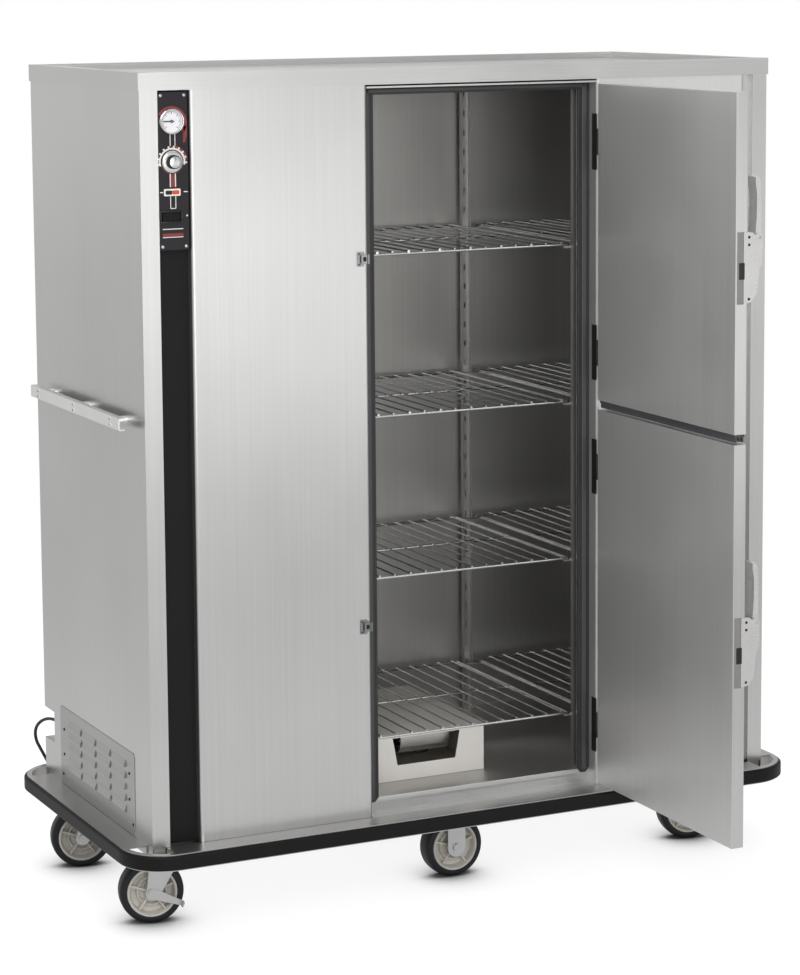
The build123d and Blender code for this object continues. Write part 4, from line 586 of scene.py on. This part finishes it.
PANEL_Y = BODY_FRONT
PRINT = 0.25
PRINT_LIFT = 0.1
DIAL = (-745.0, 1873.0)
DIAL_FACE_PROUD = 3.0
DIAL_TICKS = 25
DIAL_START = 225
DIAL_STEP = 11.25
KNOB = (-744.0, 1783.0)
KNOB_MARKS = 10
KNOB_MARK_START = 190
KNOB_MARK_STEP = 21.5
KNOB_FLUTES = 20
KNOB_FLUTE_R = 14.9
PANEL_SCREWS = ((-713.5, 1930.5), (-769.5, 1930.5), (-713.5, 1593.5), (-769.5, 1593.5))
SWITCH_LEFT = -775.2
SWITCH_RIGHT = -721.8
SWITCH_BOTTOM = 1646.8
SWITCH_TOP = 1674.2
SWITCH_BAR = 3.4
SWITCH_ROUND = 0.8


def printed(outline, material, lift=0.0):
    return facing_front(sheet(outline, PRINT, material), PANEL_Y - PRINT / 2 - lift)


def strip(x_low, x_high, z_low, z_high, material, lift=0.0):
    return printed([(x_low, z_low), (x_high, z_low), (x_high, z_high), (x_low, z_high)], material, lift)


def make_panel_prints():
    """The red sweeps, the white scale about the knob and the lines that join the controls."""
    parts = [printed(arc_outline((-744, 1870), 24, 36.5, 148, -38), print_red),
             printed(rounded([(-717, 1824, 0), (-712, 1826, 3), (-707.4, 1842, 6), (-707.4, 1862, 0),
                              (-716, 1862, 0)]), print_red),
             printed(arc_outline(KNOB, 31, 36.6, 84, 6), print_red),
             printed(arc_outline(KNOB, 26.6, 27.8, 198, 344), print_red),
             printed(arc_outline(KNOB, 27.4, 31.4, 198, -14), print_white, PRINT_LIFT)]
    for number in range(KNOB_MARKS):
        angle = KNOB_MARK_START - number * KNOB_MARK_STEP
        mark = arc_outline(KNOB, 31, 35.6, angle - 3.4, angle + 3.4, 4)
        parts.append(printed(mark, print_white, PRINT_LIFT))
    for x in (-748, -736.6):
        parts.append(strip(x - 0.9, x + 0.9, 1818, 1844, print_white))
    for x in (-749.2, -736.8):
        parts.append(strip(x - 1.2, x + 1.2, 1727, 1757, print_white, PRINT_LIFT))
        parts.append(strip(x - 0.9, x + 0.9, 1679, 1706, print_white))
    parts.append(strip(-748.6, -737.4, 1727, 1757, print_red))
    parts.append(strip(-749.2, -736.8, 1678, 1680, print_white))
    parts.append(strip(-774, -766.5, 1714.4, 1716.6, print_white))
    parts.append(strip(-717.5, -707.5, 1714.4, 1716.6, print_white))
    parts.append(printed(arc_outline((-710, 1662), 0.3, 2.2, 0, 360, 20), print_white))
    parts.append(strip(-769, -720, 1632, 1634, print_white))
    parts.append(strip(-769, -720, 1616.4, 1623.4, print_red))
    parts.append(strip(-769, -720, 1613.8, 1615.6, print_white))
    return mount(united(parts), "control_panel_prints", "cabinet", "dark_panel")


def make_panel_screws():
    """Four bright oval-head screws, one in each corner of the panel."""
    parts = []
    for x, z in PANEL_SCREWS:
        head = lathe([(0.1, 4.0), (1.0, 3.9), (1.7, 3.2), (2.1, 2.0), (2.2, 0.6)], zinc, 24)
        parts.append(turned_to(head, (x, PANEL_Y, z), (0, -1, 0)))
    return mount(united(parts), "control_panel_screws", "cabinet", "zinc")


def make_lamps():
    """The pale bezel with its dark and red lenses."""
    outline = rounded([(-765, 1707, 2), (-726, 1707, 2), (-726, 1723, 2), (-765, 1723, 2)])
    parts = [facing_front(sheet(outline, 2.2, lamp_housing, 0.5), PANEL_Y - 1.1)]
    for low, high, finish in ((-761.5, -746, lens_dark), (-745, -729.5, lens_red)):
        lens = rounded([(low, 1710.6, 2.5), (high, 1710.6, 2.5), (high, 1719.4, 2.5),
                        (low, 1719.4, 2.5)])
        parts.append(facing_front(sheet(lens, 3.6, finish, 1.3), PANEL_Y - 1.9))
    return mount(united(parts), "pilot_lamps", "cabinet", "lamps", "indicator_lights")


def make_switch():
    """The black surround of the power switch."""
    proud = PANEL_Y - SWITCH_BAR
    parts = []
    for z in (SWITCH_BOTTOM, SWITCH_TOP - SWITCH_BAR):
        parts.append(block((SWITCH_LEFT, proud, z), (SWITCH_RIGHT, PANEL_Y, z + SWITCH_BAR),
                           black_moulding_and_hole_shade, SWITCH_ROUND))
    low = SWITCH_BOTTOM + SWITCH_BAR - SWITCH_ROUND
    high = SWITCH_TOP - SWITCH_BAR + SWITCH_ROUND
    for x in (SWITCH_LEFT, SWITCH_RIGHT - SWITCH_BAR):
        parts.append(block((x, proud, low), (x + SWITCH_BAR, PANEL_Y, high), black_moulding_and_hole_shade,
                           SWITCH_ROUND))
    return mount(united(parts), "power_switch_surround", "cabinet", "knob")


def make_dial():
    """The thermometer: a bright rim, a pale face with its scale, and the stem."""
    x, z = DIAL
    scale_y = PANEL_Y - DIAL_FACE_PROUD - PRINT / 2
    rim = lathe([(0, 28.4), (0, 29), (6.5, 29), (8.4, 28.2), (9, 27), (8.6, 25.8), (6.6, 25.2),
                 (2.4, 25), (0, 25)], bezel_chrome, 96, ring=True)
    face = lathe([(0.2, 25.4), (DIAL_FACE_PROUD, 25.4), (DIAL_FACE_PROUD, 1.0)], dial_face, 96)
    stem = lathe([(-18, 4.6), (-17.4, 5), (0.2, 5)], bezel_chrome, 32)
    spindle = lathe([(2.8, 1.2), (6.8, 1.2), (7.2, 0.8)], bezel_chrome, 24)
    parts = [turned_to(piece, (x, PANEL_Y, z), (0, -1, 0)) for piece in (rim, face, stem, spindle)]
    for number in range(DIAL_TICKS):
        angle = DIAL_START - number * DIAL_STEP
        inner, half_width = (16.5, 1.9) if number % 4 == 0 else (19, 1.0)
        outline = arc_outline(DIAL, inner, 21.5, angle - half_width, angle + half_width, 3)
        parts.append(facing_front(sheet(outline, PRINT, black_moulding_and_hole_shade), scale_y))
    parts.append(facing_front(sheet(arc_outline(DIAL, 22.4, 23, 230, -50), PRINT, black_moulding_and_hole_shade),
                              scale_y))
    return mount(united(parts), "dial_thermometer", "cabinet", "bezel", "thermometer")


def make_knob():
    """The thermostat knob: a bright skirt, a black grip with flutes and a bright cap."""
    x, z = KNOB
    skirt = lathe([(0.4, 24.4), (2.4, 25), (3.6, 24.4), (5.0, 21.5), (5.2, 19.4), (5.2, 4)],
                  knob_metal, 96)
    grip = lathe([(5.1, 16), (6, 15.2), (18.6, 14.8), (19.8, 14.2), (20, 13.4), (20, 3)],
                 black_moulding_and_hole_shade, 72)
    cap = lathe([(19.6, 13), (20.4, 13), (20.7, 12.4), (20.7, 2)], knob_metal, 64)
    shaft = lathe([(-12, 2.8), (-11.6, 3), (0.6, 3)], knob_metal, 24)
    collar = lathe([(-5.3, 5.7), (-5, 6), (-2.6, 6), (-2.3, 5.7)], knob_metal, 32)
    parts = [turned_to(piece, (x, PANEL_Y, z), (0, -1, 0))
             for piece in (skirt, grip, cap, shaft, collar)]
    for number in range(KNOB_FLUTES):
        angle = math.radians(360 / KNOB_FLUTES * number)
        rib = lathe([(6, 0.9), (18.8, 0.9), (19.3, 0.5)], black_moulding_and_hole_shade, 8)
        place = (x + KNOB_FLUTE_R * math.cos(angle), PANEL_Y, z + KNOB_FLUTE_R * math.sin(angle))
        parts.append(turned_to(rib, place, (0, -1, 0)))
    pointer = block((x - 0.6, PANEL_Y - 21.0, z + 3), (x + 0.6, PANEL_Y - 20.5, z + 11.5),
                    black_moulding_and_hole_shade, 0.2)
    return mount(united(parts + [pointer]), "thermostat_dial_knob", "knob", "knob", "thermostat_knob")


make_panel_prints()
make_panel_screws()
make_lamps()
make_switch()
make_dial()
make_knob()


# Latches: drawn in the plane of the door's free edge, x away from the door, y up from the foot

DOOR_EDGE_Y = -1006.0
LATCH_FEET = {"upper": 1465.0, "lower": 601.0}
HOUSING = [(355, 0, 3), (371, 6, 4), (383, 22.6, 4), (389, 78, 3), (394, 84, 4), (397, 96, 5),
           (398, 128, 6), (397, 151, 5), (386, 157, 4), (378, 151.5, 1.5), (371, 158.4, 4),
           (355, 160, 3)]
HOUSING_FOOT_X = 359.2
HOUSING_CORE = [(HOUSING_FOOT_X, 1, 2), (371, 7, 4), (382.6, 23.6, 4), (388.4, 78.6, 3),
                (393.6, 85, 4), (396.6, 97, 5), (396.6, 124, 4), (376, 130, 3), (371, 157, 3),
                (HOUSING_FOOT_X, 158.6, 2)]
EDGE_PLATE = [(348, 0.6, 3), (371, 6, 4), (374, 60, 2), (374, 120, 2), (371, 158.6, 5), (348, 160, 6)]
RECESS_PLATE = [(331, 0, 0), (347.4, 0, 0), (347.4, 160, 0), (331, 160, 0)]
# A black plate painted as the shade inside the hole in the latch's free edge.
EDGE_HOLE_SHADE = [(336, 55, 1), (350, 55, 1), (350, 92, 1), (336, 92, 1)]
LEVER = [(383.4, 139, 4), (380.8, 153, 3), (384.4, 198, 20), (384.2, 246, 10), (380.0, 268, 5),
         (380.6, 282, 4.5), (391.0, 279, 6), (395.2, 262, 12), (395.9, 210, 20), (396, 146, 6),
         (392, 138.6, 3)]
LEVER_WIDTH = 31.4
LEVER_PIN = (389.5, 146)
LATCH_SCREWS = ((361.5, 11), (361.5, 131), (361.5, 148))


def make_latch(side, foot):
    """The casting on the door's free edge: edge plate, two cheeks, core, recess, a black plate painted
    as the shade in the edge's hole, and pin.
    """
    cheek = [(max(x, HOUSING_FOOT_X), z, cut) for x, z, cut in HOUSING]
    pin_x, pin_z = LEVER_PIN
    parts = []
    for outline, thick, finish, edge, depth in (
            (EDGE_PLATE, 0.9, latch_cast, 0.3, -0.45), (cheek, 5.0, latch_cast, 1.4, 2.9),
            (cheek, 4.0, latch_cast, 1.4, 38), (HOUSING_CORE, 35.0, latch_cast, 1.0, 20),
            (RECESS_PLATE, 0.5, recess_steel, 0.0, -0.25), (EDGE_HOLE_SHADE, 0.9, black_moulding_and_hole_shade, 0.0, -0.75)):
        parts.append(facing_front(sheet(rounded(outline), thick, finish, edge), DOOR_EDGE_Y + depth,
                                  foot))
    for x, z in LATCH_SCREWS:
        screw = lathe([(0.4, 3.4), (0.9, 3.3), (1.2, 2.4), (1.25, 0.6)], dark_screws_and_socket_shade, 24)
        parts.append(turned_to(screw, (x, DOOR_EDGE_Y, foot + z), (0, -1, 0)))
    pin = lathe([(0, 3.4), (42.6, 3.4), (43.0, 2.9)], zinc, 24)
    parts.append(turned_to(pin, (pin_x, DOOR_EDGE_Y + 42, foot + pin_z), (0, -1, 0)))
    mount(united(parts), side + "_latch_casting", side + "_door", "cast_latch", side + "_latch")
    lever = facing_front(sheet(rounded(LEVER, 8), LEVER_WIDTH, latch_cast, 3.0), DOOR_EDGE_Y + 20,
                         foot)
    boss = lathe([(0, 6.0), (0.6, 6.5), (LEVER_WIDTH - 0.6, 6.5), (LEVER_WIDTH, 6.0)], latch_cast, 32)
    turned_to(boss, (pin_x, DOOR_EDGE_Y + 35.7, foot + pin_z), (0, -1, 0))
    mount(united([lever, boss]), side + "_latch_handle", side + "_lever", "cast_latch",
          side + "_latch_lever")


for latch_side, latch_foot in LATCH_FEET.items():
    make_latch(latch_side, latch_foot)


# Gasket, door seal and the cord's strap

GASKET_FACE = -332.0
GASKET_WIDTH = 32.5
GASKET_SIDES = ((-264.0, 1), (309.5, -1))
SEAL_ENDS = (-1003, -407)
SEAL_LIPS = ((332.5, 336.5, 1156.5), (340.8, 345.2, 1158), (349.5, 353.5, 1156.5))


def make_gasket():
    """A moulded seal: a flat base with a raised bulb and two lips along both sides and the head."""
    face = GASKET_FACE
    parts = []
    for low, outer in GASKET_SIDES:
        high = low + GASKET_WIDTH
        bulb = (low + 9, low + 21) if outer > 0 else (high - 21, high - 9)
        lips = (low + 1, low + 4.5), (high - 5.5, high - 2)
        foot = rounded([(low, 252, 0), (low + 9, 241, 3), (high - 9, 241, 3), (high, 252, 0),
                        (high, 1934, 0), (low, 1934, 0)])
        parts.append(facing_front(sheet(foot, 3.0, seal_rubber, 0.6), face - 1.5))
        parts.append(block((bulb[0], face - 5.6, 248), (bulb[1], face - 2, 1930), seal_ridge, 1.8, 4))
        for lip in lips:
            parts.append(block((lip[0], face - 4.4, 252), (lip[1], face - 2, 1926), seal_rubber,
                               0.9, 3))
    parts.append(block((-232, face - 3, 1917), (310, face, 1934), seal_rubber, 0.6))
    parts.append(block((-250, face - 5.6, 1922), (328, face - 2, 1930), seal_ridge, 1.8, 4))
    return mount(united(parts), "door_gasket", "cabinet", "seal", "gasket")


def make_door_seal():
    """The flexible bar under the upper door, with lengthwise lips."""
    free_end, hinge_end = SEAL_ENDS
    parts = [block((x_low, free_end, z_low), (x_high, hinge_end, 1172), seal_ridge, 1.4, 3)
             for x_low, x_high, z_low in SEAL_LIPS]
    parts.append(block((330.2, free_end, 1168), (355.8, hinge_end, 1175), seal_ridge, 1.2, 3))
    return mount(united(parts), "upper_door_lip_seal", "upper_door", "seal", "upper_door_seal")


def make_tie():
    """A flat strap round the coil: a rounded block with a hole bridged through it."""
    low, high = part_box("cord_tie")
    middle = (Vector(low) + Vector(high)) / 2
    deselect_all()
    bpy.ops.mesh.primitive_cube_add(size=1, location=middle)
    band = bpy.context.object
    band.scale = Vector(high) - Vector(low)
    settle(band)
    finish_with(band, "BEVEL", width=5.5 * MM, segments=6)
    bpy.ops.object.mode_set(mode="EDIT")
    bpy.ops.mesh.select_all(action="DESELECT")
    bpy.ops.object.mode_set(mode="OBJECT")
    for face in band.data.polygons:
        face.select = abs(face.normal.x) > 0.9
    bpy.ops.object.mode_set(mode="EDIT")
    bpy.ops.mesh.inset(thickness=0.2 * MM)
    bpy.ops.mesh.bridge_edge_loops()
    bpy.ops.object.mode_set(mode="OBJECT")
    return mount(smooth(wearing(band, tie_strap), 50), "coil_strap", "cabinet", "tie", "cord_tie")


make_gasket()
make_door_seal()
make_tie()


# Louvred plate, heater box, trim and the painted shade in the screw sockets

LOUVRE_PLATE = [(-263, 218, 0), (250, 218, 0), (250, 413, 10), (-263, 413, 10)]
LOUVRE_THICK = 1.5
LOUVRE_ROWS = 5
LOUVRE_COLUMNS = 4
LOUVRE_FIRST = (-164, 262)
LOUVRE_PITCH = (101, 27)
LOUVRE_HOOD = [(0.5, 0, 0), (-4.6, 0, 1.2), (-5.0, 2.5, 1.5), (-2.6, 12, 5), (0.5, 19, 0)]
LOUVRE_SLOT = [(0.2, -1.6, 0), (-1.9, -1.6, 0), (-1.9, 0.4, 0), (0.2, 0.4, 0)]
LOUVRE_SCREWS = ((222, 357), (224, 294), (232, 243), (-230, 360), (-229, 298), (-251, 243))


def make_louvre_plate():
    """A plate with rounded corners and rows of low pressed hoods, open along their lower edge."""
    face = BODY_LEFT - LOUVRE_THICK
    plate = sheet(rounded(LOUVRE_PLATE), LOUVRE_THICK, louvre_sheet, 0.4)
    parts = [stood(plate, BODY_LEFT - LOUVRE_THICK / 2, 0, 0, SIDEWAYS)]
    for column in range(LOUVRE_COLUMNS):
        for row in range(LOUVRE_ROWS):
            y = LOUVRE_FIRST[0] + column * LOUVRE_PITCH[0]
            z = LOUVRE_FIRST[1] + row * LOUVRE_PITCH[1]
            for shape, length, finish, edge in ((LOUVRE_HOOD, 86, louvre_sheet, 0.3),
                                                (LOUVRE_SLOT, 80, louvre_gap, 0.0)):
                parts.append(stood(sheet(rounded(shape, 4), length, finish, edge), face, y, z))
    for y, z in LOUVRE_SCREWS:
        screw = lathe([(0, 3.7), (0.9, 3.6), (1.6, 2.9), (2.0, 1.6), (2.05, 0.4)], dark_screws_and_socket_shade, 20)
        parts.append(turned_to(screw, (face, y, z), (-1, 0, 0)))
    return mount(united(parts), "louvred_cover", "cabinet", "stainless", "louvre_panel")


HEATER_LOW = (-208.0, -228.0, 251.4)
HEATER_HIGH = (106.0, 192.0, 367.4)
HEATER_THICK = 1.2
VENT = [(-129.5, 289.4), (27.5, 289.4), (40, 357.4), (-142, 357.4)]
CHUTE_TOP = [(-194, 366.2), (-195.5, 352), (-195.5, 333), (-193, 327)]
CHUTE_BEND = (34, 26)
CHUTE_WIDTH = 132
CHUTE_X = -39


def make_heater():
    """The heater box of folded sheet, with its vent and the curved chute that is seen through it."""
    (left, front, low), (right, rear, high) = HEATER_LOW, HEATER_HIGH
    face = rounded([(left, low, 0), (right, low, 0), (right, high, 3), (left, high, 3)])
    parts = [facing_front(sheet(face, HEATER_THICK, heater_sheet_painted_lighter, 0.3, holes=[VENT]),
                          front + HEATER_THICK / 2),
             facing_front(sheet(face, HEATER_THICK, heater_sheet_painted_lighter, 0.3), rear - HEATER_THICK / 2)]
    inner_front, inner_rear = front + HEATER_THICK, rear - HEATER_THICK
    for z in (low, high - HEATER_THICK):
        parts.append(block((left + 0.4, inner_front, z), (right - 0.4, inner_rear, z + HEATER_THICK),
                           heater_sheet_painted_lighter, 0.3))
    for x in (left, right - HEATER_THICK):
        parts.append(block((x, inner_front, low + HEATER_THICK),
                           (x + HEATER_THICK, inner_rear, high - HEATER_THICK), heater_sheet_painted_lighter, 0.3))
    bend_y, bend_z = CHUTE_TOP[-1]
    back, drop = CHUTE_BEND
    chute = list(CHUTE_TOP)
    for step in range(1, 9):
        angle = math.radians(10 * step)
        chute.append((bend_y + back * (1 - math.cos(angle)), bend_z - drop * math.sin(angle)))
    outline = chute + [(y + 1.0, z + 0.5) for y, z in reversed(chute)]
    parts.append(stood(sheet(outline, CHUTE_WIDTH, aluminised), CHUTE_X, 0, 0, SIDEWAYS))
    return mount(united(parts), "heater_vented_box", "heater", "stainless", "heater_box")


FOOT_STRIP = [(-332, 237, 0), (-330.1, 237, 0), (-330.1, 251, 0), (-332, 251, 1.2)]
FOOT_STRIP_LENGTH = 541
DOORWAY_X = 39
LEFT_POST = 43
RIGHT_POST = 40
POST_SKIN = 1.5
POST_RETURN = 36
POST_FOOT_HEIGHT = 22
POST_FOOT_Z = 191.2


def make_trim():
    """The strip along the doorway's foot, and the post feet that reach down to the bumper."""
    trim = sheet(rounded(FOOT_STRIP, 4), FOOT_STRIP_LENGTH, satin_across, 0.2)
    mount(stood(trim, DOORWAY_X, 0, 0, SIDEWAYS), "doorway_foot_strip", "cabinet", "stainless")
    feet = []
    for x_side, width in ((-1, LEFT_POST), (1, RIGHT_POST)):
        for y_side in (-1, 1):
            corner = [(BODY_RIGHT, BODY_REAR), (BODY_RIGHT - width, BODY_REAR),
                      (BODY_RIGHT - width, BODY_REAR - POST_SKIN),
                      (BODY_RIGHT - POST_SKIN, BODY_REAR - POST_SKIN),
                      (BODY_RIGHT - POST_SKIN, BODY_REAR - POST_RETURN),
                      (BODY_RIGHT, BODY_REAR - POST_RETURN)]
            outline = [(x * x_side, y * y_side) for x, y in corner]
            foot = sheet(outline, POST_FOOT_HEIGHT, satin_upright)
            feet.append(stood(foot, 0, 0, POST_FOOT_Z, Matrix.Identity(4)))
    return mount(united(feet), "corner_post_feet", "cabinet", "stainless")


HANDLE_FACE = 859
HANDLE_POSTS = (-249, 0, 249)
HANDLE_SCREWS = (1184, 1197)
STRIKE_ABOVE_FOOT = 77
STRIKE_SCREW_X = -287.75
STRIKE_SCREW_REACH = 12.1
STRIKE_THICK = 3


def make_screw_recesses():
    """Dark discs and bars painted as the shade in the sockets of the screws of both push handles and
    both strikes, and in the strikes' slots.
    """
    sockets = []
    for x_side in (-1, 1):
        for y in HANDLE_POSTS:
            for z in HANDLE_SCREWS:
                socket = lathe([(1.1, 2.5), (1.8, 2.4), (1.9, 1.8)], dark_screws_and_socket_shade, 20)
                sockets.append(turned_to(socket, (HANDLE_FACE * x_side, y, z), (x_side, 0, 0)))
    for foot in LATCH_FEET.values():
        middle = foot + STRIKE_ABOVE_FOOT
        for z in (middle - STRIKE_SCREW_REACH, middle + STRIKE_SCREW_REACH):
            socket = lathe([(1.1, 2.1), (1.8, 2.0), (1.9, 1.5)], dark_screws_and_socket_shade, 20)
            place = (STRIKE_SCREW_X, BODY_FRONT - STRIKE_THICK, z)
            sockets.append(turned_to(socket, place, (0, -1, 0)))
        sockets.append(block((-286.6, -373.5, middle - 8), (-284.6, -372.8, middle + 8),
                             dark_screws_and_socket_shade, 0.3))
        sockets.append(block((-279, -376.5, middle - 5), (-271, -375.8, middle + 5),
                             dark_screws_and_socket_shade, 0.3))
    return mount(united(sockets), "screw_socket_painted_shade", "cabinet", "zinc")


make_louvre_plate()
make_heater()
make_trim()
make_screw_recesses()


# Floor, background and lights

FLOOR_NEAR = 1.2
FLOOR_FAR = 4.0
FLOOR_SHARE = 0.65
FLOOR_GLOW = 1.34
CONTACT_REACH = 170 * MM
GLOSS_DIM = 0.3
WHITE = (1, 1, 1, 1)
ROOM_GREY = (0.55, 0.55, 0.56, 1)


def make_stage():
    """A pale floor that keeps the cabinet's shadow, with a painted contact shadow where ambient
    occlusion near the wheels dims its glow, and a white background.
    """
    bpy.ops.mesh.primitive_plane_add(size=40)
    floor = bpy.context.object
    floor.name = "studio_floor"
    material, shader = new_material("matt_white_floor", Roughness=0.9)
    shader.inputs["Base Color"].default_value = tone("#cfcfcf")
    path = add(material, "ShaderNodeLightPath", {})
    direct = add(material, "ShaderNodeMath", {0: path.outputs["Is Camera Ray"],
                                              1: path.outputs["Is Transmission Ray"]}, operation="ADD")
    seen = add(material, "ShaderNodeMath", {0: direct.outputs[0], 1: path.outputs["Is Glossy Ray"]},
               operation="ADD")
    # Painted shadow: ambient occlusion dims the floor's glow near the wheels as a contact shadow.
    near = add(material, "ShaderNodeAmbientOcclusion", {"Distance": CONTACT_REACH}, samples=12)
    painted_contact_shadow = add(material, "ShaderNodeMapRange", {"Value": near.outputs["AO"], "From Min": 0.35,
                                                   "From Max": 0.97, "To Min": 0.0, "To Max": 1.0},
                  interpolation_type="SMOOTHSTEP")
    dim = add(material, "ShaderNodeMath", {0: path.outputs["Is Glossy Ray"], 1: -GLOSS_DIM, 2: 1.0},
              operation="MULTIPLY_ADD")
    level = add(material, "ShaderNodeMath", {0: painted_contact_shadow.outputs[0], 1: dim.outputs[0]},
                operation="MULTIPLY")
    place = add(material, "ShaderNodeTexCoord", {})
    away = add(material, "ShaderNodeVectorMath", {0: place.outputs["Object"]}, operation="LENGTH")
    far = add(material, "ShaderNodeMapRange", {"Value": away.outputs["Value"], "From Min": FLOOR_NEAR,
                                               "From Max": FLOOR_FAR, "To Min": 0.0, "To Max": 1.0})
    blend = add(material, "ShaderNodeMapRange", {"Value": far.outputs[0], "To Min": FLOOR_SHARE,
                                                 "To Max": 1.0})
    glow = add(material, "ShaderNodeMapRange", {"Value": far.outputs[0], "To Min": FLOOR_GLOW,
                                                "To Max": 1.0})
    share = add(material, "ShaderNodeMath", {0: seen.outputs[0], 1: blend.outputs[0]},
                operation="MULTIPLY")
    strength = add(material, "ShaderNodeMath", {0: glow.outputs[0], 1: level.outputs[0]},
                   operation="MULTIPLY")
    white = add(material, "ShaderNodeEmission", {"Color": WHITE, "Strength": strength.outputs[0]})
    both = add(material, "ShaderNodeMixShader", {0: share.outputs[0], 1: shader.outputs[0],
                                                 2: white.outputs[0]})
    join(material, both.outputs[0], material.node_tree.nodes["Material Output"].inputs["Surface"])
    floor.data.materials.append(material)

    world = bpy.data.worlds.new("studio")
    bpy.context.scene.world = world
    world.use_nodes = True
    background = world.node_tree.nodes["Background"]
    background.inputs["Strength"].default_value = 1.0
    path = add(world, "ShaderNodeLightPath", {})
    seen = add(world, "ShaderNodeMath", {0: path.outputs["Is Camera Ray"],
                                         1: path.outputs["Is Transmission Ray"]}, operation="ADD")
    place = add(world, "ShaderNodeTexCoord", {})
    split = add(world, "ShaderNodeSeparateXYZ", {0: place.outputs["Generated"]})
    height = add(world, "ShaderNodeMapRange", {"Value": split.outputs["Z"], "From Min": -0.3,
                                               "From Max": 0.6, "To Min": 1.0, "To Max": 0.5})
    soft = add(world, "ShaderNodeCombineColor", {0: height.outputs[0], 1: height.outputs[0],
                                                 2: height.outputs[0]})
    gloss = add(world, "ShaderNodeMix", {"Factor": path.outputs["Is Glossy Ray"],
                                         6: ROOM_GREY, 7: soft.outputs[0]}, data_type="RGBA")
    whole = add(world, "ShaderNodeMix", {"Factor": seen.outputs[0], 6: gloss.outputs[2],
                                         7: WHITE}, data_type="RGBA")
    join(world, whole.outputs[2], background.inputs["Color"])


def soft_light(name, place, target, width, height, power):
    data = bpy.data.lights.new(name, "AREA")
    data.shape = "RECTANGLE"
    data.size = width
    data.size_y = height
    data.energy = power
    lamp = bpy.data.objects.new(name, data)
    lamp.location = place
    lamp.rotation_euler = (Vector(target) - Vector(place)).to_track_quat("-Z", "Y").to_euler()
    bpy.context.scene.collection.objects.link(lamp)


make_stage()
soft_light("key_light", (-2.8, -4.2, 4.2), (0, 0, 0.9), 2.6, 2.6, 130)
soft_light("fill_light", (2.1, -4.6, 0.9), (0, 0, 1.2), 0.9, 1.0, 5)
soft_light("doorway_light", (-0.9, -4.8, 1.5), (0.1, 0.3, 1.0), 1.6, 2.0, 46)
soft_light("top_light", (0.0, 0.5, 5.2), (0, 0.2, 0), 4.0, 3.0, 110)

bpy.context.scene.view_settings.view_transform = "Standard"
